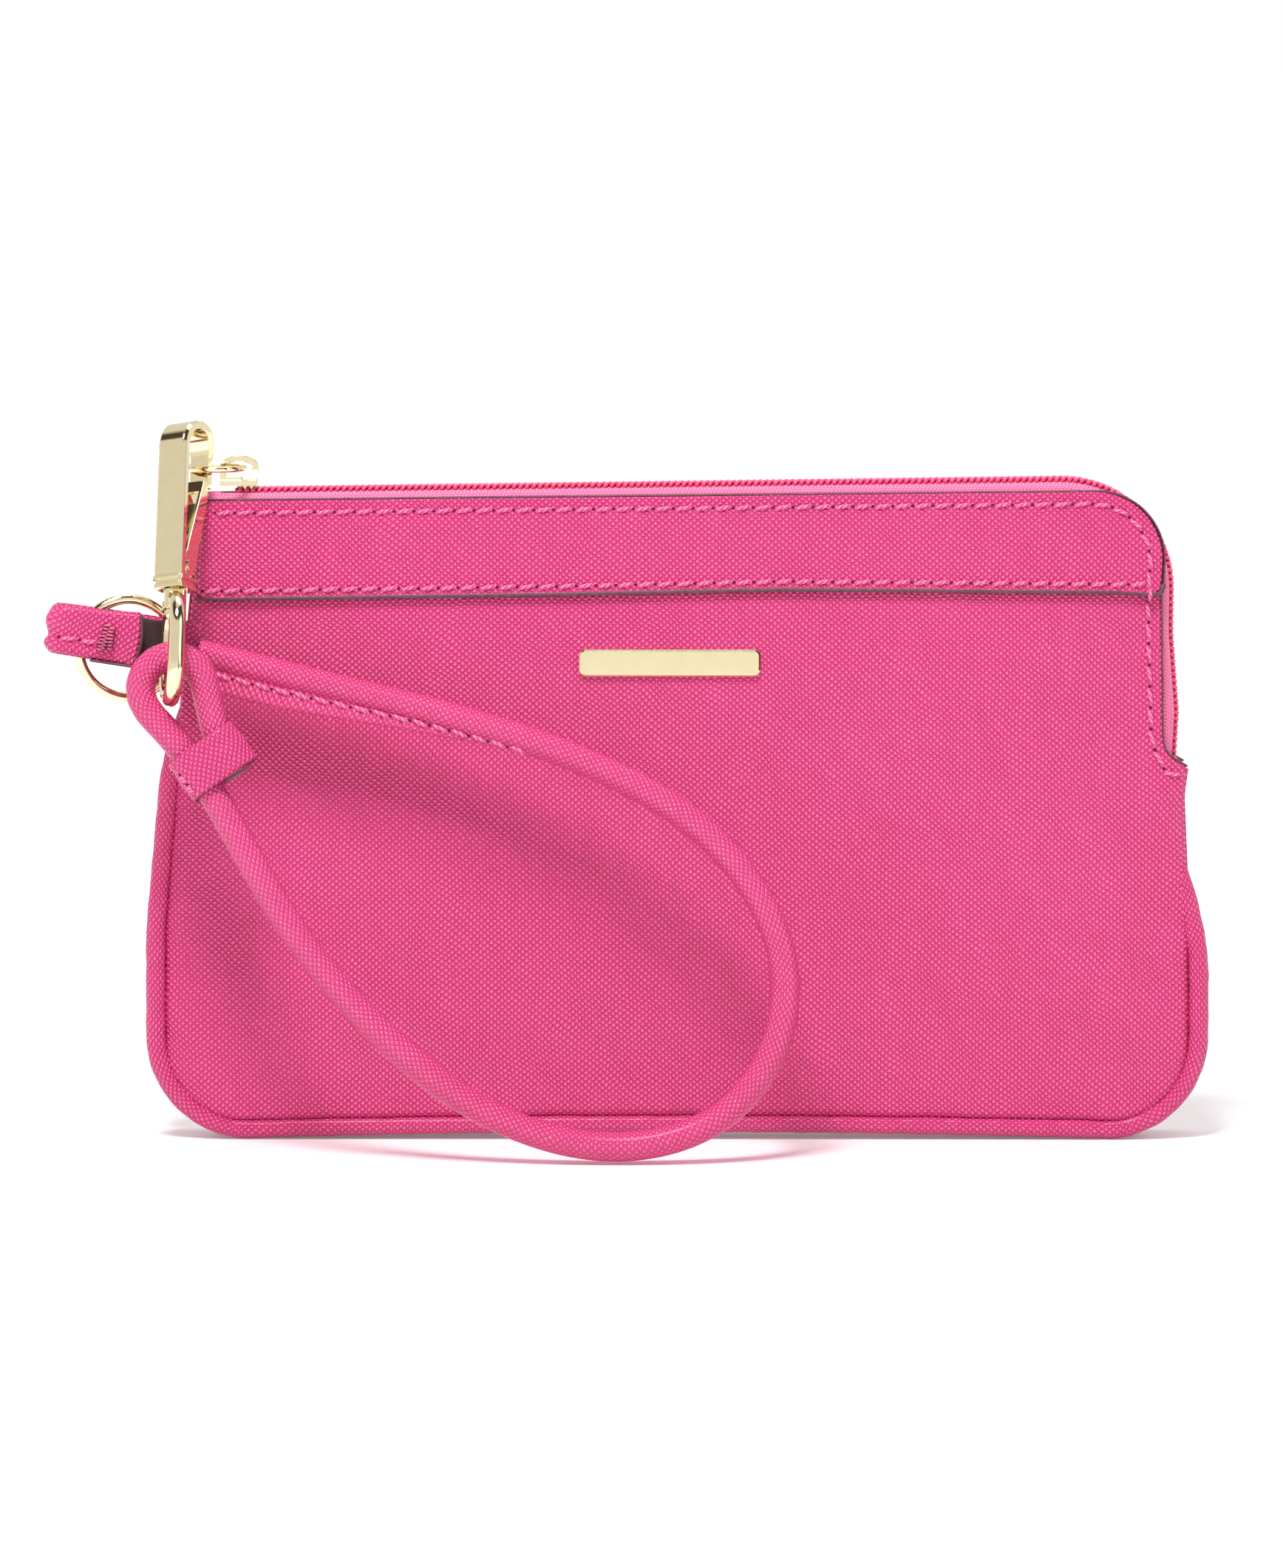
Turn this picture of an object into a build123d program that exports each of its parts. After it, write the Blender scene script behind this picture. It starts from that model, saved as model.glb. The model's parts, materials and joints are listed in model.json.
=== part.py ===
from build123d import *

import math
import os

# A wristlet wallet: a zip-top leather pouch that stands on its bottom edge, with a looped wrist
# strap on a snap hook that hangs from the zip slider.
#
# Millimetres. +X to the right of the front panel, -Y out of it, +Z up. The origin is on the
# floor, midway between the front and back panels and midway along the bottom.
os.makedirs("parts", exist_ok=True)

# ---------------------------------------------------------------- driving dimensions: pouch
LEATHER = 1.4                 # panel thickness, coated leather with its backing
BAND = 1.1                    # thickness of the band laid over the front panel
RIM_LOW = 5.6                 # half depth inside the panels' rims at the floor
RIM_TOP = 3.4                 # the same at the height RIM_TOP_Z
RIM_TOP_Z = 124.0
BULGE = ((-4, 0.0), (6, 1.1), (20, 2.4), (40, 3.2))   # (inset from the rim, rise of the panel)
DOME_SIZE = (196.5, 121.0)    # rounded rectangle that the bulge follows
DOME_CENTRE = (0.0, 63.5)
DOME_RADIUS = 16.0
DOME_DEPTH = 6.0              # how far the dome's solid reaches inwards
GUSSET = 1.2                  # gusset thickness
PIPING_DIA = 3.8
LINING = 0.5                  # lining thickness
LINING_GAP = 1.0              # room between the lining and the leather
HALF_ROOM = 14.0              # more than half the pouch's depth, for cutting

# Corners of outlines in the front view, each (x, z, fillet radius).
SILHOUETTE = (
    (-100.4, 0.0, 20), (100.4, 0.0, 20), (100.4, 34, 60), (96.6, 62, 60),
    (95.8, 127.6, 18), (-91.6, 125.0, 3), (-95.4, 84, 60), (-100.4, 30, 60),
)
PANEL = (
    (-98.2, 3.4, 14), (98.2, 3.4, 14), (98.2, 45, 40), (97.2, 66, 10), (97.7, 72.4, 0.6),
    (93.2, 74.4, 2), (93.2, 124.5, 15), (-90.4, 122.6, 2.5), (-94.9, 84, 40), (-98.2, 40, 60),
)
LINING_OUTLINE = (
    (-94, 6, 12), (94, 6, 12), (86.5, 72, 30), (85, 111, 10), (-84, 110, 6), (-90, 78, 40),
)
BAND_REGION = ((-96, 104.1), (96, 106.2), (96, 140), (-96, 140))
ZIP_REGION = ((-91.2, 112), (84, 112), (84, 74), (110, 74), (110, 140), (-91.2, 140))
PIPING_ROUTE = (              # centre of the piping, in the plane of the rim
    (-93.6, 84), (-97.2, 70), (-100.0, 40), (-100.1, 1.9), (100.1, 1.9), (100.1, 36), (96.0, 54.5),
)
PIPING_RADII = (30, 60, 18, 18, 40)

EMBLEM_SIZE = (34.6, 5.2)     # plain metal bar
EMBLEM_HEIGHT = 1.0
EMBLEM_AT = (-1.4, 91.8)
PRONG_X = 12.0                # prongs each side of the emblem's centre
PRONG_DIA = 1.4
WASHER_DIA = 4.4
WASHER = 0.4

# ---------------------------------------------------------------- driving dimensions: zip
COIL = 2.0                    # height of the coils on the tape
COIL_HALF = 2.3               # from the middle of the zip to a coil's outer edge
COIL_GAP = 0.45               # from the middle of the zip to each coil, room for the divider
TAPE = 0.7
TAPE_FLANGE = 6.5             # how far the tape reaches down behind the leather
SLIDER_AT = (-83.8, 125.08)   # middle of the slider, on top of the coils, slider closed
ZIP_SLOPE = (127.6 - 125.0) / (95.8 + 91.6)           # the zip line climbs to the right
SLIDER_LENGTH = 7.2
SLIDER_WIDTH = 6.0            # of its upper plate
SLIDER_WIDTH_LOW = 4.4        # of its lower plate, between the tapes
SLIDER_PLATE = 1.0
SLIDER_PLAY = 0.3
DIVIDER = (3.0, 0.4)          # length and thickness
CROWN = ((-3.6, -0.5, 0), (-3.6, 3.6, 2), (0.4, 5.1, 5), (3.7, 3.4, 1.6), (3.7, -0.5, 0))
CROWN_MOUTH = ((0.6, -1.0), (4.0, -1.0), (4.0, 1.7), (2.0, 1.7), (0.6, 0.9))
CROWN_WIDTH = 1.7
CROWN_THICK = 1.1

# ---------------------------------------------------------------- driving dimensions: hardware
JUMP_RING_AT = (-88.4, -3.7, 128.75)
JUMP_RING_RADIUS = 5.6
JUMP_RING_WIRE = 1.2

HOOK_AT = (-93.2, -8.3, 131.95)      # middle of the hook's bow
HOOK_YAW = 29.0                      # the hook's mouth faces back and to the right
HOOK_LEAN = 19.5                     # its foot hangs forward of its bow
HOOK_ROLL = 1.2
BOW_RADIUS = 5.0                     # middle of the bow's thickness
BOW_THICK = 1.6
HOOK_WIDTH = 6.2
NOSE_WIDTH = 3.8
NOSE_END = -6.0                      # heights below are along the hook, from the bow's middle
COLLAR_TOP = -25.6
COLLAR = ((6.8, 6.4, 0.7), (5.8, 5.6, 0.7), (6.4, 6.0, 0.9))   # (width, depth, height) down
STUD_DEPTH = -2.7                    # the swivel's axis, from the middle of the bow
STUD_DIA = 2.2
STUD_PLAY = 0.06
STUD_HEAD = (3.6, 1.7)
PIVOT = (-1.6, -23.0)                # gate pivot (depth, height)
PIVOT_DIA = 1.3
LUG_RADIUS = 1.3
LUG_WIDTH = 2.6
LUG_NECK = ((-4.6, -20.6), (-1.6, -21.7), (-1.6, -24.3), (-4.6, -25.4))
GATE_SIDE = ((0.35, -24.3), (4.05, -9.0), (4.05, -5.0), (2.7, -5.0), (-2.9, -21.4))
GATE_ROOM = (
    (-0.38, -24.6), (3.32, -9.2), (3.0, -7.4), (0.4, -7.4), (-6, -21), (-6, -26), (-0.7, -26),
)
GATE_WIDTH = 4.6
GATE_WALL = 0.7
GATE_EYE = 2.0                       # radius of its cheeks at the pivot
PIN_HEAD = (2.3, 0.35)
SPRING_ROUTE = ((-4.0, -20.3), (-3.2, -17.6), (1.7, -14.5))
SPRING_STRIP = (0.3, 2.2)

RING_WIRE = 3.2
RING_HEIGHT = 22.3
RING_WIDTH = 16.0
RING_TOP = -28.2
RING_YAW = 10.0
RING_BOSS = (4.6, 4.2, 3.7)          # depth, width, height

# ---------------------------------------------------------------- driving dimensions: strap
STRAP_DIA = 5.5
STRAP_ROUTE = (                      # the rolled strap's route, from the folded end to its tail
    (-91.0, -15.4, 94.2), (-72.0, -16.1, 89.4), (-45.0, -17.6, 83.1), (-16.0, -21.2, 74.3),
    (7.3, -26.0, 61.2), (20.8, -31.0, 41.2), (20.0, -36.2, 21.2), (7.2, -40.0, 6.2),
    (-14.0, -41.0, 2.0), (-37.0, -39.4, 8.9), (-57.0, -36.6, 24.8), (-72.4, -33.2, 42.6),
    (-82.4, -30.2, 59.8), (-89.0, -28.4, 71.2), (-95.2, -26.8, 79.2), (-101.0, -25.6, 85.0),
    (-101.5, -24.6, 90.0), (-98.4, -24.1, 93.9), (-93.5, -24.0, 94.6), (-89.6, -24.4, 91.4),
    (-88.6, -25.2, 86.2), (-86.6, -27.0, 78.2), (-82.9, -28.2, 72.3),
)
ARC_SHARE = 0.45                     # of the shorter run, taken up by each arc

KEEPER_AT = (-87.9, -27.9, 74.4)
KEEPER_AXIS = (0.588, -0.17, -0.809)
KEEPER_ACROSS = (0.809, 0.118, 0.588)
KEEPER_LENGTH = 8.6
KEEPER_WALL = 1.1
STRAND_GAP = 5.7                     # between the middles of the two strands in the keeper

END_STRIP = 1.2                      # thickness of the flat strap end
END_BACK_Y = -13.2                   # middle of its back layer
END_FRONT_Y = -17.2                  # middle of its front layer
END_FOLD_X = -117.7                  # centre of its round fold
END_CUT_X = -101.8                   # cut end of the front layer
END_RIGHT_X = -89.0                  # end of the back layer, inside the rolled strap
END_HEIGHT = 8.6
END_AT = (-104.5, 0.0, 95.0)
END_SLOPE = 6.0                      # the strip runs downhill to the right
BARTACK_AT = (-108.2, 95.6)
BARTACK_DIA = 2.6
O_RING_AT = (-104.5, -13.2, 95.0)
O_RING_RADIUS = 9.3
O_RING_WIRE = 2.0
O_RING_TILT = 13.3


# ---------------------------------------------------------------- helpers
def save(piece, name):
    """Label a finished piece and write it to its own STEP file."""
    piece.part.label = name
    export_step(piece.part, f"parts/{name}.step")


def outline(corners, inset=0.0):
    """A closed sketch with (x, z, radius) corners, shrunk by an inset."""
    with BuildSketch(mode=Mode.PRIVATE) as shape:
        with BuildLine():
            FilletPolyline(
                *[(x, z) for x, z, _ in corners], radius=[r for _, _, r in corners], close=True
            )
        make_face()
        if inset:
            offset(amount=-inset)
    return shape.sketch


def region(points):
    """A closed sketch with sharp corners."""
    with BuildSketch(mode=Mode.PRIVATE) as shape:
        with BuildLine():
            Polyline(*points, close=True)
        make_face()
    return shape.sketch


def slab(plane, shape, start, end):
    """A solid of a sketch between two distances along a plane's normal."""
    with BuildPart(mode=Mode.PRIVATE) as solid:
        with BuildSketch(plane.offset(start)):
            add(shape)
        extrude(amount=end - start)
    return solid.part


def dome(rise):
    """The bulged body of a panel, with its edge `rise` above the plane of the rim."""
    with BuildPart(mode=Mode.PRIVATE) as solid:
        for inset, lift in BULGE:
            with BuildSketch(rim.offset(rise + lift)):
                with Locations(DOME_CENTRE):
                    RectangleRounded(
                        DOME_SIZE[0] - 2 * inset, DOME_SIZE[1] - 2 * inset, DOME_RADIUS
                    )
        loft(ruled=True)
        extrude(solid.faces().sort_by(rim.location.z_axis)[0], amount=DOME_DEPTH)
    return solid.part


def skin(shape, low, high):
    """A bulged sheet of leather or cloth between two rises, cut to a sketch."""
    upper, lower, column = dome(high), dome(low), slab(rim, shape, -DOME_DEPTH, 2 * DOME_DEPTH)
    with BuildPart(mode=Mode.PRIVATE) as sheet:
        add(upper)
        add(lower, mode=Mode.SUBTRACT)
        add(column, mode=Mode.INTERSECT)
    return sheet.part


def tube(points, radii, diameter):
    """A round cord along straight runs joined by tangent arcs."""
    with BuildPart(mode=Mode.PRIVATE) as cord:
        with BuildLine() as path:
            FilletPolyline(*points, radius=radii)
        with BuildSketch(path.line ^ 0):
            Circle(diameter / 2)
        sweep()
    return cord.part


def arc_radii(points):
    """As large an arc at each corner of a route as its two runs allow."""
    corners = [Vector(*point) for point in points]
    radii = []
    for before, corner, after in zip(corners, corners[1:], corners[2:]):
        run_in, run_out = corner - before, after - corner
        half_turn = math.radians(run_in.get_angle(run_out)) / 2
        radii.append(ARC_SHARE * min(run_in.length, run_out.length) / math.tan(half_turn))
    return radii


def hook_turn(direction):
    """Turn a direction from the upright hook to the hook as it hangs."""
    turned = direction.rotate(Axis.Z, -HOOK_YAW).rotate(Axis.X, -HOOK_LEAN)
    return turned.rotate(Axis.Y, HOOK_ROLL)


rim_tilt = math.atan((RIM_LOW - RIM_TOP) / RIM_TOP_Z)
rim = Plane(
    origin=(0, -RIM_LOW, 0), x_dir=(1, 0, 0), z_dir=(0, -math.cos(rim_tilt), math.sin(rim_tilt))
)
rim_back = Plane(
    origin=(0, RIM_LOW, 0), x_dir=(1, 0, 0), z_dir=(0, math.cos(rim_tilt), math.sin(rim_tilt))
)

# ---------------------------------------------------------------- piping
seam = rim.offset(LEATHER / 2)
piping_points = [seam.from_local_coords((x, z, 0)) for x, z in PIPING_ROUTE]
with BuildPart() as front_piping:
    add(tube(piping_points, PIPING_RADII, PIPING_DIA))
with BuildPart() as back_piping:
    mirror(front_piping.part, about=Plane.XZ)

# ---------------------------------------------------------------- panels and band
panel_outline = outline(PANEL)
panel_skin = skin(panel_outline, 0, LEATHER)
prong_places = [(EMBLEM_AT[0] + side * PRONG_X, EMBLEM_AT[1]) for side in (-1, 1)]
with BuildSketch(mode=Mode.PRIVATE) as prong_holes:
    with Locations(*prong_places):
        Circle(PRONG_DIA / 2)
prong_column = slab(rim, prong_holes.sketch, -1, 2 * DOME_DEPTH)

with BuildPart() as front_panel:
    add(panel_skin)
    add(front_piping.part, mode=Mode.SUBTRACT)
    add(prong_column, mode=Mode.SUBTRACT)
with BuildPart() as back_panel:
    mirror(panel_skin, about=Plane.XZ)
    add(back_piping.part, mode=Mode.SUBTRACT)

with BuildSketch(mode=Mode.PRIVATE) as band_outline:
    add(panel_outline)
    add(region(BAND_REGION), mode=Mode.INTERSECT)
with BuildPart() as front_band:
    add(skin(band_outline.sketch, LEATHER, LEATHER + BAND))

# ---------------------------------------------------------------- lining
lining_rise = -LINING_GAP - LINING
with BuildPart() as front_lining:
    add(skin(outline(LINING_OUTLINE), lining_rise, lining_rise + LINING))
with BuildPart() as back_lining:
    mirror(front_lining.part, about=Plane.XZ)

# ---------------------------------------------------------------- gusset
zip_region = region(ZIP_REGION)
with BuildSketch(mode=Mode.PRIVATE) as gusset_strip:
    add(outline(SILHOUETTE))
    add(outline(SILHOUETTE, GUSSET), mode=Mode.SUBTRACT)
    add(zip_region, mode=Mode.SUBTRACT)
with BuildPart() as gusset:
    add(slab(Plane.XZ, gusset_strip.sketch, -HALF_ROOM, HALF_ROOM))
    split(bisect_by=rim, keep=Keep.BOTTOM)
    split(bisect_by=rim_back, keep=Keep.BOTTOM)
    add(front_piping.part, mode=Mode.SUBTRACT)
    add(back_piping.part, mode=Mode.SUBTRACT)

# ---------------------------------------------------------------- emblem
with BuildSketch(mode=Mode.PRIVATE) as emblem_outline:
    with Locations(EMBLEM_AT):
        RectangleRounded(*EMBLEM_SIZE, 1.2)
panel_dome = dome(LEATHER)
emblem_low = LEATHER + BULGE[2][1] - 1
emblem_high = LEATHER + BULGE[3][1] + EMBLEM_HEIGHT
washer_face = BULGE[2][1] + 0.1
with BuildPart() as emblem_bar:
    add(slab(rim, emblem_outline.sketch, emblem_low, emblem_high))
    chamfer(emblem_bar.faces().sort_by(rim.location.z_axis)[-1].edges(), 0.35)
    add(panel_dome, mode=Mode.SUBTRACT)
    add(slab(rim, prong_holes.sketch, washer_face - WASHER, emblem_high - 0.5))
with BuildPart() as emblem_washers:
    with BuildSketch(rim.offset(washer_face - WASHER)):
        with Locations(*prong_places):
            Circle(WASHER_DIA / 2)
            Circle(PRONG_DIA / 2, mode=Mode.SUBTRACT)
    extrude(amount=WASHER)


# ---------------------------------------------------------------- zip
def zip_strip(outer, inner):
    """The stretch of a strip along the silhouette that the zip covers."""
    with BuildSketch(mode=Mode.PRIVATE) as strip:
        add(outline(SILHOUETTE, outer))
        add(outline(SILHOUETTE, inner), mode=Mode.SUBTRACT)
        add(zip_region, mode=Mode.INTERSECT)
    return strip.sketch


with BuildPart() as zip_coil_front:
    add(slab(Plane.XZ, zip_strip(0, COIL), COIL_GAP, COIL_HALF))
with BuildPart() as zip_coil_back:
    mirror(zip_coil_front.part, about=Plane.XZ)
with BuildPart() as zip_tape_front:
    add(slab(Plane.XZ, zip_strip(COIL, COIL + TAPE), COIL_GAP, HALF_ROOM))
    split(bisect_by=rim, keep=Keep.BOTTOM)
    add(slab(rim, zip_strip(COIL + TAPE / 2, COIL + TAPE_FLANGE), -TAPE, 0))
with BuildPart() as zip_tape_back:
    mirror(zip_tape_front.part, about=Plane.XZ)

# ---------------------------------------------------------------- zip slider
slider_side = Plane(
    origin=(SLIDER_AT[0], 0, SLIDER_AT[1]), x_dir=(1, 0, ZIP_SLOPE), z_dir=(0, -1, 0)
)
deck = SLIDER_PLAY + SLIDER_PLATE
deck_side = Plane(
    origin=slider_side.from_local_coords((0, deck, 0)), x_dir=slider_side.x_dir,
    z_dir=slider_side.z_dir,
)
keel = -COIL - TAPE - deck
with BuildPart() as slider_body:
    for middle, width in ((deck - SLIDER_PLATE / 2, SLIDER_WIDTH),
                          (keel + SLIDER_PLATE / 2, SLIDER_WIDTH_LOW)):
        with BuildSketch(slider_side):
            with Locations((0, middle)):
                RectangleRounded(SLIDER_LENGTH, SLIDER_PLATE, 0.3)
        extrude(amount=width / 2, both=True)
    with BuildSketch(slider_side):
        with Locations((SLIDER_LENGTH / 2 - DIVIDER[0] / 2 - 0.4, (deck + keel) / 2)):
            Rectangle(DIVIDER[0], deck - keel - SLIDER_PLATE)
    extrude(amount=DIVIDER[1] / 2, both=True)
with BuildPart() as slider_crown:
    with BuildSketch(deck_side):
        add(outline(CROWN))
        add(outline(CROWN, CROWN_THICK), mode=Mode.SUBTRACT)
        add(region(CROWN_MOUTH), mode=Mode.SUBTRACT)
        add(region(((-5, -1), (5, -1), (5, 0), (-5, 0))), mode=Mode.SUBTRACT)
    extrude(amount=CROWN_WIDTH / 2, both=True)

# ---------------------------------------------------------------- jump ring
with BuildPart() as jump_ring:
    with Locations(JUMP_RING_AT):
        Torus(JUMP_RING_RADIUS, JUMP_RING_WIRE / 2)

# ---------------------------------------------------------------- snap hook
hook_depth = hook_turn(Vector(0, 1, 0))
hook_up = hook_turn(Vector(0, 0, 1))
hook_width = hook_turn(Vector(1, 0, 0))
hook_side = Plane(origin=HOOK_AT, x_dir=hook_depth, z_dir=hook_width)


def hook_level(depth, height):
    """A plane square to the swivel's axis, with its normal up along that axis."""
    point = hook_side.from_local_coords((depth, height, 0))
    return Plane(origin=point, x_dir=hook_depth, z_dir=hook_up)


def across(shape, width):
    """A solid of a side-view sketch, as wide as stated about the hook's middle."""
    return slab(hook_side, shape, -width / 2, width / 2)


collar_foot = COLLAR_TOP - sum(height for _, _, height in COLLAR)
with BuildSketch(mode=Mode.PRIVATE) as spine_side:
    with BuildLine():
        Line((-BOW_RADIUS, COLLAR_TOP), (-BOW_RADIUS, 0))
        RadiusArc((-BOW_RADIUS, 0), (0, BOW_RADIUS), BOW_RADIUS)
    trace(line_width=BOW_THICK)
with BuildSketch(mode=Mode.PRIVATE) as nose_side:
    with BuildLine():
        RadiusArc((0, BOW_RADIUS), (BOW_RADIUS, 0), BOW_RADIUS)
        Line((BOW_RADIUS, 0), (BOW_RADIUS, NOSE_END))
    trace(line_width=BOW_THICK)
with BuildSketch(mode=Mode.PRIVATE) as lug_side:
    with Locations(PIVOT):
        Circle(LUG_RADIUS)
    add(region(LUG_NECK))
    with Locations(PIVOT):
        Circle(PIVOT_DIA / 2, mode=Mode.SUBTRACT)

# The nose narrows from the bow's full width, seen along the hook's depth.
nose_taper = region((
    (-HOOK_WIDTH / 2, BOW_RADIUS + BOW_THICK), (-HOOK_WIDTH / 2, BOW_RADIUS - 0.6),
    (-NOSE_WIDTH / 2, 0), (-NOSE_WIDTH / 2, NOSE_END), (NOSE_WIDTH / 2, NOSE_END),
    (NOSE_WIDTH / 2, 0), (HOOK_WIDTH / 2, BOW_RADIUS - 0.6),
    (HOOK_WIDTH / 2, BOW_RADIUS + BOW_THICK),
))
hook_front = Plane(origin=HOOK_AT, x_dir=hook_width, z_dir=-hook_depth)
with BuildPart(mode=Mode.PRIVATE) as nose:
    add(across(nose_side.sketch, HOOK_WIDTH))
    add(slab(hook_front, nose_taper, -2 * BOW_RADIUS, 0.01), mode=Mode.INTERSECT)

with BuildPart() as hook_body:
    add(across(spine_side.sketch, HOOK_WIDTH))
    chamfer(hook_body.faces().sort_by(hook_side.location.x_axis)[0].edges().filter_by(
        lambda edge: abs((edge % 0.5).dot(hook_up)) > 0.99), 0.5)
    add(nose.part)
    add(across(lug_side.sketch, LUG_WIDTH))
    level = COLLAR_TOP
    for width, depth, height in COLLAR:
        with BuildSketch(hook_level(STUD_DEPTH, level)):
            RectangleRounded(depth, width, 0.8)
        extrude(amount=-height)
        level -= height
    with BuildSketch(hook_level(STUD_DEPTH, collar_foot)):
        Circle(STUD_DIA / 2)
    extrude(amount=2 * COLLAR[2][2], mode=Mode.SUBTRACT)

head_top = RING_TOP - RING_BOSS[2] - STUD_PLAY
with BuildPart() as swivel_stud:
    with BuildSketch(hook_level(STUD_DEPTH, head_top)):
        Circle(STUD_DIA / 2)
    extrude(amount=collar_foot + 2 * COLLAR[2][2] - head_top)
    with BuildSketch(hook_level(STUD_DEPTH, head_top)):
        Circle(STUD_HEAD[0] / 2)
    extrude(amount=-STUD_HEAD[1])
    fillet(swivel_stud.faces().sort_by(hook_level(0, 0).location.z_axis)[0].edges(), 0.8)

with BuildSketch(mode=Mode.PRIVATE) as pin_shank:
    with Locations(PIVOT):
        Circle(PIVOT_DIA / 2)
with BuildSketch(mode=Mode.PRIVATE) as pin_heads:
    with Locations(PIVOT):
        Circle(PIN_HEAD[0] / 2)
pin_reach = GATE_WIDTH / 2 + STUD_PLAY
with BuildPart() as gate_pin:
    add(across(pin_shank.sketch, 2 * pin_reach))
    add(slab(hook_side, pin_heads.sketch, pin_reach, pin_reach + PIN_HEAD[1]))
    add(slab(hook_side, pin_heads.sketch, -pin_reach - PIN_HEAD[1], -pin_reach))

with BuildSketch(mode=Mode.PRIVATE) as gate_side:
    add(region(GATE_SIDE))
    with Locations(PIVOT):
        Circle(GATE_EYE)
        Circle(PIVOT_DIA / 2 + STUD_PLAY, mode=Mode.SUBTRACT)
with BuildSketch(mode=Mode.PRIVATE) as gate_room:
    add(region(GATE_ROOM))
    with Locations(PIVOT):
        Circle(GATE_EYE - GATE_WALL + 0.25)
with BuildPart() as hook_gate:
    add(across(gate_side.sketch, GATE_WIDTH))
    add(across(gate_room.sketch, GATE_WIDTH - 2 * GATE_WALL), mode=Mode.SUBTRACT)

with BuildSketch(mode=Mode.PRIVATE) as spring_side:
    with BuildLine():
        FilletPolyline(*SPRING_ROUTE, radius=1.5)
    trace(line_width=SPRING_STRIP[0])
with BuildPart() as gate_spring:
    add(across(spring_side.sketch, SPRING_STRIP[1]))

# ---------------------------------------------------------------- swivel ring
ring_depth = Vector(0, 1, 0).rotate(Axis.Z, RING_YAW).rotate(Axis.X, -HOOK_LEAN)
ring_depth = ring_depth.rotate(Axis.Y, HOOK_ROLL)
ring_centre = hook_side.from_local_coords((STUD_DEPTH, RING_TOP - RING_HEIGHT / 2, 0))
ring_plane = Plane(origin=ring_centre, x_dir=ring_depth, z_dir=ring_depth.cross(hook_up))
ring_half_width = (RING_WIDTH - RING_WIRE) / 2
ring_half_straight = (RING_HEIGHT - RING_WIDTH) / 2
with BuildPart() as swivel_ring:
    with BuildLine(ring_plane) as ring_route:
        Line((ring_half_width, -ring_half_straight), (ring_half_width, ring_half_straight))
        ThreePointArc(
            (ring_half_width, ring_half_straight), (0, ring_half_straight + ring_half_width),
            (-ring_half_width, ring_half_straight),
        )
        Line((-ring_half_width, ring_half_straight), (-ring_half_width, -ring_half_straight))
        ThreePointArc(
            (-ring_half_width, -ring_half_straight), (0, -ring_half_straight - ring_half_width),
            (ring_half_width, -ring_half_straight),
        )
    with BuildSketch(ring_route.line ^ 0):
        Circle(RING_WIRE / 2)
    sweep()
    with BuildSketch(Plane(ring_centre + hook_up * (RING_HEIGHT / 2), ring_depth, hook_up)):
        RectangleRounded(RING_BOSS[0], RING_BOSS[1], 1.0)
    extrude(amount=-RING_BOSS[2])
    with BuildSketch(hook_level(STUD_DEPTH, RING_TOP + 1)):
        Circle(STUD_DIA / 2 + STUD_PLAY)
    extrude(amount=-RING_BOSS[2] - 2, mode=Mode.SUBTRACT)

# ---------------------------------------------------------------- wrist strap
strap_radii = arc_radii(STRAP_ROUTE)
with BuildPart() as wrist_strap:
    add(tube(STRAP_ROUTE, strap_radii, STRAP_DIA))

keeper_plane = Plane(origin=KEEPER_AT, x_dir=KEEPER_ACROSS, z_dir=KEEPER_AXIS)
with BuildPart() as strap_keeper:
    with BuildSketch(keeper_plane.offset(-KEEPER_LENGTH / 2)):
        SlotOverall(STRAND_GAP + STRAP_DIA + 2 * KEEPER_WALL, STRAP_DIA + 2 * KEEPER_WALL)
        SlotOverall(STRAND_GAP + STRAP_DIA, STRAP_DIA, mode=Mode.SUBTRACT)
    extrude(amount=KEEPER_LENGTH)

strip_plane = Plane(
    origin=END_AT, x_dir=(math.cos(math.radians(END_SLOPE)), 0, -math.sin(math.radians(END_SLOPE))),
    z_dir=(math.sin(math.radians(END_SLOPE)), 0, math.cos(math.radians(END_SLOPE))),
)
with BuildPart() as strap_end_fold:
    with BuildSketch(strip_plane):
        with BuildLine():
            Line((END_RIGHT_X - END_AT[0], END_BACK_Y), (END_FOLD_X - END_AT[0], END_BACK_Y))
            ThreePointArc(
                (END_FOLD_X - END_AT[0], END_BACK_Y),
                (END_FOLD_X - END_AT[0] + (END_FRONT_Y - END_BACK_Y) / 2,
                 (END_BACK_Y + END_FRONT_Y) / 2),
                (END_FOLD_X - END_AT[0], END_FRONT_Y),
            )
            Line((END_FOLD_X - END_AT[0], END_FRONT_Y), (END_CUT_X - END_AT[0], END_FRONT_Y))
        trace(line_width=END_STRIP)
    extrude(amount=END_HEIGHT / 2, both=True)
with BuildPart() as end_bartack:
    with BuildSketch(Plane.XZ.offset(-END_BACK_Y - END_STRIP)):
        with Locations(BARTACK_AT):
            Circle(BARTACK_DIA / 2)
    extrude(amount=END_BACK_Y - END_FRONT_Y + 2 * END_STRIP)
tilt = math.radians(O_RING_TILT)
with BuildPart(Plane(origin=O_RING_AT, z_dir=(math.sin(tilt), -math.cos(tilt), 0))) as o_ring:
    Torus(O_RING_RADIUS, O_RING_WIRE / 2)

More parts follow.
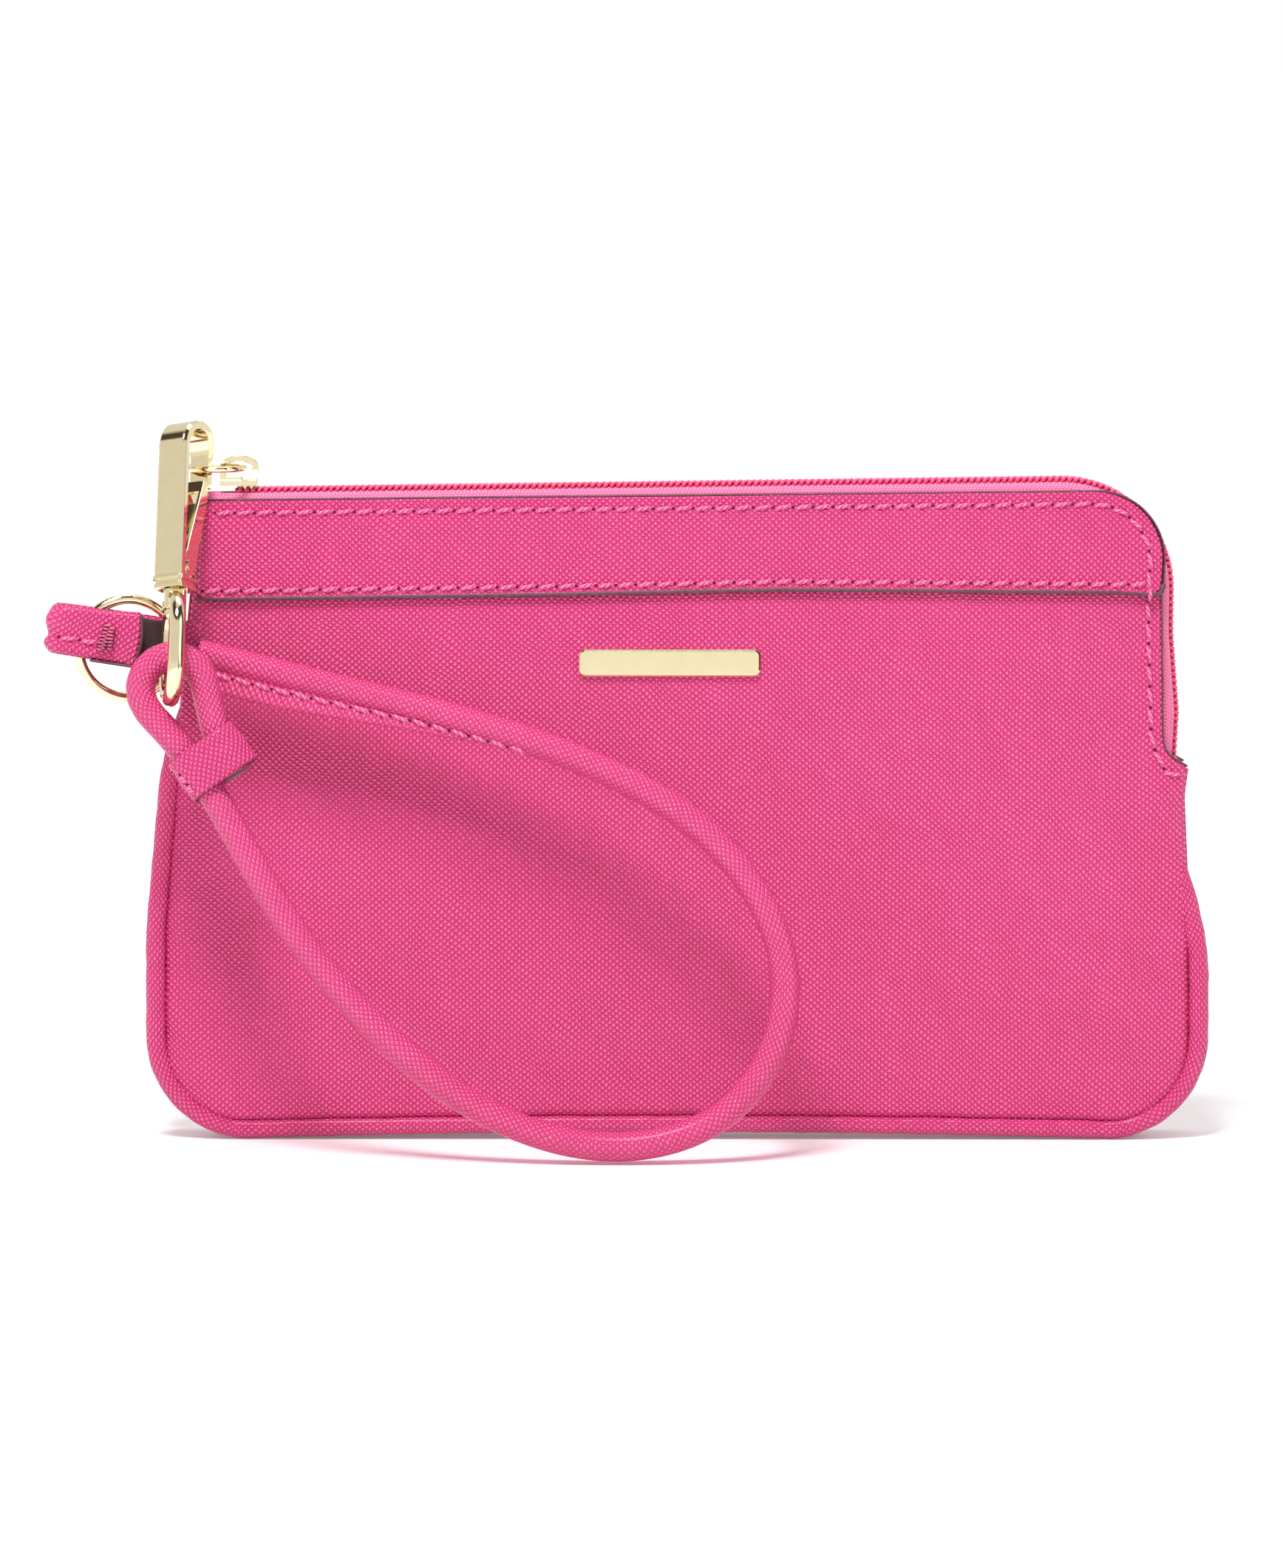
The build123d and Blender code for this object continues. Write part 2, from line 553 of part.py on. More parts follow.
# ---------------------------------------------------------------- output
pieces = {
    "front_panel": front_panel, "front_band": front_band, "back_panel": back_panel,
    "gusset": gusset, "front_piping": front_piping, "back_piping": back_piping,
    "front_lining": front_lining, "back_lining": back_lining,
    "zip_tape_front": zip_tape_front, "zip_tape_back": zip_tape_back,
    "zip_coil_front": zip_coil_front, "zip_coil_back": zip_coil_back,
    "emblem_bar": emblem_bar, "emblem_washers": emblem_washers,
    "slider_body": slider_body, "slider_crown": slider_crown, "jump_ring": jump_ring,
    "hook_body": hook_body, "hook_gate": hook_gate, "gate_pin": gate_pin,
    "gate_spring": gate_spring, "swivel_stud": swivel_stud, "swivel_ring": swivel_ring,
    "wrist_strap": wrist_strap, "strap_keeper": strap_keeper,
    "strap_end_fold": strap_end_fold, "end_bartack": end_bartack, "o_ring": o_ring,
}
for name, piece in pieces.items():
    save(piece, name)

strap_section = math.pi * STRAP_DIA ** 2 / 4
print("strap arcs, mm:", [round(radius, 1) for radius in strap_radii])
print("strap length from its volume, mm:", round(wrist_strap.part.volume / strap_section, 1))
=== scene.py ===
import json
import math

import bmesh
import bpy
import numpy as np
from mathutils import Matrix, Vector


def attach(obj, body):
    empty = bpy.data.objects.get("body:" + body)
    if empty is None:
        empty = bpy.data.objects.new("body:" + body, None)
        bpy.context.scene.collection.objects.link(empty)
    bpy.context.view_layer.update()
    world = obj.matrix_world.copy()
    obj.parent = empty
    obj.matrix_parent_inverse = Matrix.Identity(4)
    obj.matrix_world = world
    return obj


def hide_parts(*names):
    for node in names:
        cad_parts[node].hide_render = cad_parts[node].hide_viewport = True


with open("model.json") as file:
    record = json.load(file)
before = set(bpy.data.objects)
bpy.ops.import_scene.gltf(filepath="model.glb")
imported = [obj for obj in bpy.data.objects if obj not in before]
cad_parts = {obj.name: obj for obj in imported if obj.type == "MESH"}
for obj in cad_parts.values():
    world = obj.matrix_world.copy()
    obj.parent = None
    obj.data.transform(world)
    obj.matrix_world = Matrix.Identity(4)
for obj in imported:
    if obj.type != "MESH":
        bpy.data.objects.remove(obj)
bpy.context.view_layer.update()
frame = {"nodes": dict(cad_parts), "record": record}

# A pink wristlet wallet. Shapes are worked out in millimetres in the frame's own axes, with +X to
# the right of the front panel, -Y out of it and +Z up, and become metres when a mesh is made.
MM = 0.001

# ---------------------------------------------------------------- pouch dimensions
LEATHER = 1.4                 # panel thickness
BAND = 1.1                    # thickness of the band over the front panel
RIM_LOW = 5.6                 # half depth inside the rims at the floor
RIM_TOP = 3.4                 # the same at RIM_TOP_Z
RIM_TOP_Z = 124.0
BULGE_RISE = 3.2
BULGE_SPAN = (-4.0, 40.0)     # insets between which the panel rises
BULGE_POWER = 2.2
DOME_HALF = (98.25, 60.5)
DOME_MIDDLE_Z = 63.5
DOME_RADIUS = 16.0
ARCH = 1.3                    # how far the bottom edge arches up in its middle
ARCH_HALF = 86.0
PIPING_RADIUS = 1.9
GUSSET = 1.2
POUCH_MIDDLE = np.array([0.0, 0.0, 60.0])

# Corners of outlines in the front view, each (x, z, fillet radius).
SILHOUETTE = (
    (-100.4, 0.0, 20), (100.4, 0.0, 20), (100.4, 34, 60), (96.6, 62, 60),
    (95.8, 127.6, 18), (-91.6, 125.0, 3), (-95.4, 84, 60), (-100.4, 30, 60),
)
PANEL = (
    (-98.2, 3.4, 14), (98.2, 3.4, 14), (98.2, 45, 40), (97.2, 66, 10), (97.9, 71.6, 0.8),
    (92.9, 74.6, 5), (92.4, 106, 30), (93.6, 124.6, 13), (-90.4, 122.6, 2.5), (-94.9, 84, 40),
    (-98.2, 40, 60),
)
BAND_OUTLINE = (
    (-91.6, 104.2, 1.0), (-22, 105.2, 80), (20, 106.1, 80), (84, 105.6, 20), (92.2, 104.9, 1.6),
    (93.6, 124.6, 13), (-90.4, 122.6, 2.0),
)
PIPING_ROUTE = (
    (-93.6, 84, 0), (-97.2, 70, 30), (-100.0, 40, 60), (-100.1, 1.9, 18), (100.1, 1.9, 18),
    (100.1, 36, 40), (96.0, 54.5, 0),
)
BAND_FOOT = (
    (-91.4, 104.0, 0), (-22, 105.0, 80), (20, 105.9, 80), (84, 105.4, 20), (92.0, 104.7, 1.2),
    (92.9, 106.8, 0),
)
CUT_EDGE = (
    (-90.2, 122.7, 0), (93.6, 124.6, 13), (92.4, 106, 30), (92.9, 74.6, 5), (97.6, 71.9, 0),
)
ZIP_ROUTE = (
    (-91.2, 125.0, 0), (95.4, 127.5, 21.5), (95.2, 97.0, 40), (96.4, 82.0, 12), (95.9, 72.8, 0),
)
BAND_SEAM = ((-90.6, 105.5, 0), (-22, 106.5, 80), (20, 107.4, 80), (84, 106.9, 20), (89.8, 106.9, 0))
TOP_SEAM = (
    (-88.2, 120.3, 0), (91.1, 122.2, 11), (89.8, 105, 30), (90.6, 76.5, 12), (93.4, 70.6, 3),
    (96.8, 70.0, 0),
)

# ---------------------------------------------------------------- zip dimensions
COIL_PITCH = 1.25
COIL_TALL = 0.36              # half height of a coil
COIL_REACH = 1.15             # half width of a coil
COIL_MIDDLE = 1.05            # from the middle of the zip to the middle of a coil
COIL_WIRE = 0.36
COIL_TURNED = 0.3             # added to it down the right side, where the zip turns forwards
COIL_START_X = -84.5          # the coils part inside the slider and end there when it is shut
TAPE_TOP = 0.95               # inset of the tape beside the coils
TAPE_FOOT = 8.0               # inset of the tape's hidden edge
TAPE_THICK = 0.45

# ---------------------------------------------------------------- strap dimensions
STRAP_DIA = 5.5
STRAP_ROUTE = (
    (-91.0, -15.4, 94.2), (-72.0, -16.1, 89.4), (-45.0, -17.6, 83.1), (-16.0, -21.2, 74.3),
    (7.3, -26.0, 61.2), (20.8, -31.0, 41.2), (20.0, -36.2, 21.2), (7.2, -40.0, 6.2),
    (-14.0, -41.0, 2.0), (-37.0, -39.4, 8.9), (-57.0, -36.6, 24.8), (-72.4, -33.2, 42.6),
    (-82.4, -30.2, 59.8), (-89.0, -28.4, 71.2), (-95.2, -26.8, 79.2), (-101.0, -25.6, 85.0),
    (-101.5, -24.6, 90.0), (-98.4, -24.1, 93.9), (-93.5, -24.0, 94.6), (-89.6, -24.4, 91.4),
    (-88.6, -25.2, 86.2), (-86.6, -27.0, 78.2), (-82.9, -28.2, 72.3),
)
FLANGE_LENGTH = 66.0          # how far the strap's flat seam flange runs from its folded end
FLANGE_WIDTH = 4.3
FLANGE_HALF_THICK = 0.8

# ---------------------------------------------------------------- leather and thread dimensions
GRAIN = (1.34, 1.19)          # width and height of the grain's diamonds
STITCH_PITCH = 3.76
THREAD_RADIUS = 0.36
HOLE_HALF = (0.36, 0.3)       # half length and half width of a needle hole


# ---------------------------------------------------------------- outlines and routes
def unit(vectors):
    """The same directions with a length of 1."""
    return vectors / np.linalg.norm(vectors, axis=-1, keepdims=True)


def rounded(corners, closed, spacing):
    """Evenly spaced points along straight runs joined by arcs, from (x, z, radius) corners."""
    places = [np.array(corner[:2], float) for corner in corners]
    count = len(places)
    line = []
    for index, (place, corner) in enumerate(zip(places, corners)):
        radius = corner[2]
        if not closed and index in (0, count - 1) or radius == 0:
            line.append(place)
            continue
        back, ahead = unit(places[index - 1] - place), unit(places[(index + 1) % count] - place)
        half = math.acos(float(np.clip(back @ ahead, -1, 1))) / 2
        reach = radius / math.tan(half)
        middle = place + unit(back + ahead) * radius / math.sin(half)
        start, end = place + back * reach - middle, place + ahead * reach - middle
        turn = math.pi - 2 * half
        for step in np.linspace(0, 1, max(3, int(turn / 0.08))):
            weight_end = math.sin(step * turn) / math.sin(turn)
            weight_start = math.sin((1 - step) * turn) / math.sin(turn)
            line.append(middle + start * weight_start + end * weight_end)
    if closed:
        line.append(line[0])
    even = resample(np.array(line), spacing)
    return even[:-1] if closed else even


def resample(line, spacing):
    """The same line with points at even distances."""
    lengths = np.concatenate(([0], np.cumsum(np.linalg.norm(np.diff(line, axis=0), axis=1))))
    count = max(2, int(round(lengths[-1] / spacing)) + 1)
    marks = np.linspace(0, lengths[-1], count)
    return np.stack([np.interp(marks, lengths, line[:, axis]) for axis in range(line.shape[1])], 1)


def along(line):
    """Unit tangents of a line of points."""
    return unit(np.gradient(line, axis=0))


def in_space(flat, depth):
    """Points in space from (x, z) places and their depths."""
    return np.stack([flat[:, 0], np.broadcast_to(depth, len(flat)), flat[:, 1]], 1)


def inwards(line):
    """Directions across a line of points towards the middle of the pouch."""
    inward = np.cross(along(line), [0.0, 1.0, 0.0])
    return inward * np.sign(((POUCH_MIDDLE - line) * inward).sum(1))[:, None]


def distance_to(line, places):
    """Distance from each (x, z) place to a fine line of points."""
    fine = resample(line, 0.5)
    nearest = np.full(len(places), 1e9)
    for start in range(0, len(fine), 64):
        gap = places[:, None, :] - fine[None, start:start + 64, :]
        nearest = np.minimum(nearest, np.sqrt((gap ** 2).sum(2)).min(1))
    return nearest


# ---------------------------------------------------------------- the pouch's surface
def rim_depth(z):
    """Half the pouch's depth inside the rims at a height."""
    return RIM_LOW - (RIM_LOW - RIM_TOP) * z / RIM_TOP_Z


def dome_inset(x, z):
    """How far a place lies inside the rounded rectangle that the bulge follows."""
    over_x = np.abs(x) - (DOME_HALF[0] - DOME_RADIUS)
    over_z = np.abs(z - DOME_MIDDLE_Z) - (DOME_HALF[1] - DOME_RADIUS)
    outside = np.hypot(np.maximum(over_x, 0), np.maximum(over_z, 0))
    return DOME_RADIUS - outside - np.minimum(np.maximum(over_x, over_z), 0)


def waves(x, z, side):
    """Slight unevenness of soft leather, different on the two panels."""
    shift = 0.9 * side
    slow = np.sin(x / 29 + shift) * np.sin(z / 21 + 0.7 * shift + 0.5)
    quick = np.sin(x / 12 + z / 17 + 2.1 * shift) * np.sin(x / 19 - z / 11)
    return 0.32 * slow + 0.1 * quick


def surface(x, z, lift, side=-1):
    """Depth of a panel's surface: side -1 is the front and 1 the back."""
    inset = dome_inset(x, z)
    share = np.clip((inset - BULGE_SPAN[0]) / (BULGE_SPAN[1] - BULGE_SPAN[0]), 0, 1)
    rise = BULGE_RISE * (1 - (1 - share) ** BULGE_POWER)
    fade = np.clip(inset / 25, 0, 1)
    return side * (rim_depth(z) + lift + rise + waves(x, z, side) * fade)


def arched(points):
    """Lift the bottom edge of the pouch into its slight arch."""
    x, z = points[:, 0], points[:, 2]
    points[:, 2] += ARCH * np.maximum(0, 1 - (x / ARCH_HALF) ** 2) * np.exp(-np.maximum(z, 0) / 12)
    return points


# ---------------------------------------------------------------- mesh making
def put(name, data):
    """A new object in the scene."""
    thing = bpy.data.objects.new(name, data)
    bpy.context.collection.objects.link(thing)
    return thing


def make_piece(name, points, faces, uvs, materials, body, face_slots=None):
    """A smooth mesh piece from millimetre points that rides on a body. uvs are per face corner."""
    mesh = bpy.data.meshes.new(name)
    points = np.array(points, float)
    if body == "pouch":
        points = arched(points)
    mesh.from_pydata((points * MM).tolist(), [], faces)
    layer = mesh.uv_layers.new(name="UVMap")
    layer.data.foreach_set("uv", np.array(uvs, np.float32).ravel())
    if face_slots is not None:
        mesh.polygons.foreach_set("material_index", np.array(face_slots, np.int32))
    for material in materials:
        mesh.materials.append(material)
    mesh.shade_smooth()
    mesh.validate()
    piece = put(name, mesh)
    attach(piece, body)
    return piece


def loft(name, rings, materials, body, caps=(True, True), cap_slot=0, planar=False, band=None):
    """A piece from a row of closed rings. UVs are millimetres along and round it, or (x, z)."""
    rings = np.array(rings, float)
    rows, count, _ = rings.shape
    points = rings.reshape(-1, 3).tolist()
    centres = rings.mean(1)
    run = np.concatenate(([0], np.cumsum(np.linalg.norm(np.diff(centres, axis=0), axis=1))))
    closed = np.concatenate((rings, rings[:, :1]), axis=1)
    round_it = np.cumsum(np.linalg.norm(np.diff(closed, axis=1), axis=2), axis=1)
    round_it = np.concatenate((np.zeros((rows, 1)), round_it), axis=1)
    middle = rows // 2
    faces, uvs, slots = [], [], []
    for row in range(rows - 1):
        for place in range(count):
            after = (place + 1) % count
            corners = (row * count + place, row * count + after,
                       (row + 1) * count + after, (row + 1) * count + place)
            faces.append(corners)
            if planar:
                uvs += [(points[c][0], points[c][2]) for c in corners]
            else:
                uvs += [(run[row], round_it[middle, place]), (run[row], round_it[middle, place + 1]),
                        (run[row + 1], round_it[middle, place + 1]),
                        (run[row + 1], round_it[middle, place])]
            slots.append(0 if band is None else band(row, place))
    for wanted, row, flip in ((caps[0], 0, True), (caps[1], rows - 1, False)):
        if not wanted:
            continue
        points.append(centres[row].tolist())
        for place in range(count):
            pair = [row * count + place, row * count + (place + 1) % count]
            corners = (pair[::-1] if flip else pair) + [len(points) - 1]
            faces.append(corners)
            uvs += [(points[c][0], points[c][2]) for c in corners]
            slots.append(cap_slot)
    return make_piece(name, points, faces, uvs, materials, body, slots)


def profile_rings(line, across, out, profile):
    """Rings of (across, out) profile points along a line.

    A direction may be one for the whole line, and profile may be a function of the row.
    """
    rings = []
    for row, (place, side, up) in enumerate(zip(*np.broadcast_arrays(line, across, out))):
        shape = profile(row) if callable(profile) else profile
        rings.append([place + side * a + up * o for a, o in shape])
    return rings


def ellipse(half_across, half_out, count=12, power=1.0):
    """A closed profile, squarer as power falls below 1."""
    turns = np.linspace(0, 2 * math.pi, count, endpoint=False)
    return [(half_across * math.copysign(abs(math.cos(t)) ** power, math.cos(t)),
             half_out * math.copysign(abs(math.sin(t)) ** power, math.sin(t))) for t in turns]


def transported(line, first_side):
    """Sideways and outward directions along a line, carried with no twist."""
    tangents = along(line)
    side = np.array(first_side, float)
    sides = []
    for tangent in tangents:
        side = unit(side - tangent * (side @ tangent))
        sides.append(side)
    sides = np.array(sides)
    return sides, np.cross(tangents, sides)


def spline_line(points, spacing):
    """Even points on the smooth line that listed control points give."""
    curve = bpy.data.curves.new("route", "CURVE")
    curve.dimensions = "3D"
    curve.resolution_u = 24
    spline = curve.splines.new("NURBS")
    spline.points.add(len(points) - 1)
    for control, place in zip(spline.points, points):
        control.co = (*[value * MM for value in place], 1)
    spline.order_u = 3
    spline.use_endpoint_u = True
    holder = put("route", curve)
    bpy.context.view_layer.update()
    mesh = bpy.data.meshes.new_from_object(holder)
    line = np.array([vertex.co for vertex in mesh.vertices]) / MM
    bpy.data.objects.remove(holder)
    bpy.data.curves.remove(curve)
    bpy.data.meshes.remove(mesh)
    return resample(line, spacing)


# ---------------------------------------------------------------- materials
class Tree:
    """A node tree, with short calls for adding nodes to it that give a node's first output."""

    def __init__(self, tree):
        self.tree = tree

    def add(self, kind, values=(), **settings):
        """A node with values or sockets on its inputs, in order or by name, and settings."""
        node = self.tree.nodes.new("ShaderNode" + kind)
        for setting, value in settings.items():
            setattr(node, setting, value)
        for place, value in values.items() if isinstance(values, dict) else enumerate(values):
            if isinstance(value, bpy.types.NodeSocket):
                self.tree.links.new(value, node.inputs[place])
            elif value is not None:
                node.inputs[place].default_value = value
        return node.outputs[0]

    def math(self, operation, *values):
        return self.add("Math", values, operation=operation)

    def noise(self, vector, scale, detail=3.0):
        return self.add("TexNoise", {"Vector": vector, "Scale": scale, "Detail": detail})

    def ramp(self, value, *stops):
        colour = self.add("ValToRGB", [value])
        elements = colour.node.color_ramp.elements
        for element, (place, shade) in zip(elements, (stops[0], stops[-1])):
            element.position, element.color = place, (*shade, 1)
        for place, shade in stops[1:-1]:
            elements.new(place).color = (*shade, 1)
        return colour

    def between(self, value, low, high):
        return self.math("MULTIPLY_ADD", value, high - low, low)

    def place(self, output):
        """Millimetre coordinates: 'UV' for made pieces or 'Object' for CAD ones."""
        node = self.tree.nodes.new("ShaderNodeTexCoord")
        scale = 1.0 if output == "UV" else 1 / MM
        return self.add("VectorMath", [node.outputs[output], (scale, scale, scale)],
                        operation="MULTIPLY")

    def split(self, vector):
        return self.add("SeparateXYZ", [vector]).node.outputs

    def bump(self, height, distance, normal=None):
        return self.add("Bump", {"Distance": distance * MM, "Height": height, "Normal": normal})


class Nodes(Tree):
    """A material's node tree."""

    def __init__(self, name, **sockets):
        self.material = bpy.data.materials.new(name)
        self.material.use_nodes = True
        super().__init__(self.material.node_tree)
        self.shader = self.tree.nodes["Principled BSDF"]
        for socket, value in sockets.items():
            self.shader.inputs[socket.replace("_", " ")].default_value = value

    def set(self, socket, value):
        self.tree.links.new(value, self.shader.inputs[socket])

    def finish(self, colour, roughness, normal=None):
        """Link the colour, roughness and normal, and give the finished material."""
        self.set("Base Color", colour)
        self.set("Roughness", roughness)
        if normal is not None:
            self.set("Normal", normal)
        return self.material


def leather_material(name, relief_deep=0.5, roughness=(0.52, 0.25), valley_shade=(0.57, 0.019, 0.130),
                     top=(0.94, 0.085, 0.325)):
    """Crosshatch-embossed coated leather: small raised diamonds between two sets of slanting lines. The
    colour ramp over the height paints shade into the hollows and a highlight onto the diamonds' tops.
    """
    nodes = Nodes(name, Coat_Weight=0.14, Coat_Roughness=0.22, Specular_IOR_Level=0.5)
    place = nodes.place("UV")
    x, y, _ = nodes.split(place)
    wobble = nodes.between(nodes.noise(place, 0.09, 2.0), -0.7, 0.7)
    across = nodes.math("ADD", nodes.math("DIVIDE", x, GRAIN[0]), wobble)
    up = nodes.math("ADD", nodes.math("DIVIDE", y, GRAIN[1]), wobble)
    lines = [nodes.math("ABSOLUTE", nodes.math("SINE", nodes.math(
        "MULTIPLY", nodes.math(slant, across, up), math.pi))) for slant in ("ADD", "SUBTRACT")]
    nub = nodes.math("POWER", nodes.math("MULTIPLY", *lines), 0.75)
    worn = nodes.between(nodes.noise(place, 0.6, 2.0), 0.6, 1.2)
    height = nodes.math("MULTIPLY", nub, worn)
    relief = nodes.math("MULTIPLY_ADD", nodes.noise(place, 6.0, 2.0), 0.18, height)
    cloud = nodes.between(nodes.noise(place, 0.03, 2.0), -0.12, 0.12)
    middle = [(a + b) / 2 for a, b in zip(valley_shade, top)]
    # Painted shade and highlight: darker in the grain's hollows, lighter on its raised tops.
    colour = nodes.ramp(nodes.math("ADD", height, cloud), (0.05, valley_shade), (0.55, middle), (1.0, top))
    return nodes.finish(colour, nodes.between(height, *roughness), nodes.bump(relief, relief_deep))


def paint_material():
    """The dark paint on cut leather edges."""
    nodes = Nodes("edge_paint", Specular_IOR_Level=0.4)
    place = nodes.place("UV")
    mottle = nodes.noise(place, 0.8)
    colour = nodes.ramp(mottle, (0.3, (0.075, 0.022, 0.036)), (0.7, (0.14, 0.05, 0.07)))
    return nodes.finish(colour, nodes.between(mottle, 0.35, 0.6),
                        nodes.bump(nodes.noise(place, 2.5), 0.08))


def suede_material():
    """The dark raw back of the leather, with a short nap."""
    nodes = Nodes("leather_back", Sheen_Weight=0.3, Specular_IOR_Level=0.2)
    nap = nodes.noise(nodes.place("UV"), 5.0, 5.0)
    colour = nodes.ramp(nap, (0.3, (0.020, 0.010, 0.010)), (0.75, (0.085, 0.045, 0.04)))
    return nodes.finish(colour, nodes.between(nap, 0.75, 0.95), nodes.bump(nap, 0.12))


def gold_material():
    """Pale gold plating: polished, with the faint haze and hairlines of handled metal."""
    nodes = Nodes("gold_plating", Metallic=1.0)
    place = nodes.place("Object")
    haze = nodes.noise(place, 0.35)
    stretched = nodes.add("VectorMath", [place, (1.0, 1.0, 14.0)], operation="MULTIPLY")
    hairline = nodes.noise(stretched, 1.6, 2.0)
    colour = nodes.ramp(haze, (0.3, (0.80, 0.69, 0.43)), (0.7, (0.83, 0.72, 0.47)))
    rough = nodes.math("MULTIPLY_ADD", hairline, 0.03, nodes.between(haze, 0.05, 0.08))
    edge = nodes.add("Bevel", {"Radius": 0.22 * MM}, samples=4)
    return nodes.finish(colour, rough, nodes.bump(hairline, 0.0006, edge))


def thread_material():
    """Twisted waxed thread, its colour following the twist: painted shade between the plies, a painted
    highlight on their crowns.
    """
    nodes = Nodes("stitch_thread", Sheen_Weight=0.2, Specular_IOR_Level=0.4)
    length, turn, _ = nodes.split(nodes.place("UV"))
    twist = nodes.math("SINE", nodes.math("MULTIPLY_ADD", length, 5.5, nodes.math(
        "MULTIPLY", turn, 2 * math.pi / 3)))
    # Painted shade and highlight: darker in the grooves of the twist, lighter on the plies.
    colour = nodes.ramp(nodes.between(twist, 0.5, 1.0), (0.0, (0.62, 0.05, 0.19)),
                        (1.0, (0.98, 0.22, 0.45)))
    return nodes.finish(colour, nodes.between(twist, 0.6, 0.45), nodes.bump(twist, 0.12))


def hole_material():
    """A dark disc for a needle hole: its colour is painted shade for the hole's inside."""
    nodes = Nodes("needle_hole_shade", Specular_IOR_Level=0.1)
    shade = nodes.noise(nodes.place("UV"), 3.0)
    colour = nodes.ramp(shade, (0.3, (0.07, 0.006, 0.02)), (0.8, (0.18, 0.014, 0.045)))
    return nodes.finish(colour, nodes.between(shade, 0.8, 0.95))


def tape_material():
    """Herringbone-woven polyester tape."""
    nodes = Nodes("zip_tape_weave", Sheen_Weight=0.25, Specular_IOR_Level=0.3)
    run, width, _ = nodes.split(nodes.place("UV"))
    slant = nodes.math("ABSOLUTE", nodes.math("SINE", nodes.math("MULTIPLY", width, 1.6)))
    yarn = nodes.math("SINE", nodes.math("MULTIPLY", nodes.math("ADD", run, nodes.math(
        "MULTIPLY", slant, 0.7)), 9.0))
    weft = nodes.math("SINE", nodes.math("MULTIPLY", width, 11.4))
    weave = nodes.between(nodes.math("MULTIPLY_ADD", yarn, 0.6, nodes.math("MULTIPLY", weft, 0.4)),
                          0.5, 1.0)
    colour = nodes.ramp(weave, (0.0, (0.62, 0.05, 0.18)), (1.0, (0.98, 0.26, 0.46)))
    return nodes.finish(colour, nodes.between(weave, 0.85, 0.65), nodes.bump(weave, 0.16))


def coil_material():
    """Dyed nylon."""
    nodes = Nodes("zip_coil_nylon", Specular_IOR_Level=0.5, Coat_Weight=0.1)
    tint = nodes.noise(nodes.place("UV"), 0.7)
    colour = nodes.ramp(tint, (0.3, (0.70, 0.045, 0.15)), (0.7, (0.82, 0.08, 0.22)))
    return nodes.finish(colour, nodes.between(tint, 0.28, 0.42))


def lining_material():
    """Dark twill."""
    nodes = Nodes("lining_twill", Sheen_Weight=0.2, Specular_IOR_Level=0.25)
    x, _, z = nodes.split(nodes.place("Object"))
    twill = nodes.math("SINE", nodes.math("MULTIPLY", nodes.math("ADD", x, z), 9.0))
    share = nodes.between(twill, 0.5, 1.0)
    colour = nodes.ramp(share, (0.0, (0.10, 0.01, 0.03)), (1.0, (0.20, 0.03, 0.07)))
    return nodes.finish(colour, nodes.between(share, 0.9, 0.75), nodes.bump(share, 0.05))


def spring_material():
    """Bright steel strip."""
    nodes = Nodes("spring_strip", Metallic=1.0)
    grain = nodes.noise(nodes.place("Object"), 2.0)
    colour = nodes.ramp(grain, (0.3, (0.40, 0.40, 0.41)), (0.7, (0.60, 0.60, 0.62)))
    return nodes.finish(colour, nodes.between(grain, 0.25, 0.45))


leather = leather_material("pink_leather")
# The strap's roll and flange get a darker copy of the pouch leather: the lower colours are painted shade.
strap_leather = leather_material("pink_strap_leather_shaded", relief_deep=0.3, roughness=(0.40, 0.22),
                                 valley_shade=(0.49, 0.016, 0.110), top=(0.83, 0.074, 0.282))
paint = paint_material()
suede = suede_material()
gold = gold_material()
thread = thread_material()
hole = hole_material()
tape = tape_material()
nylon = coil_material()
twill = lining_material()
spring = spring_material()


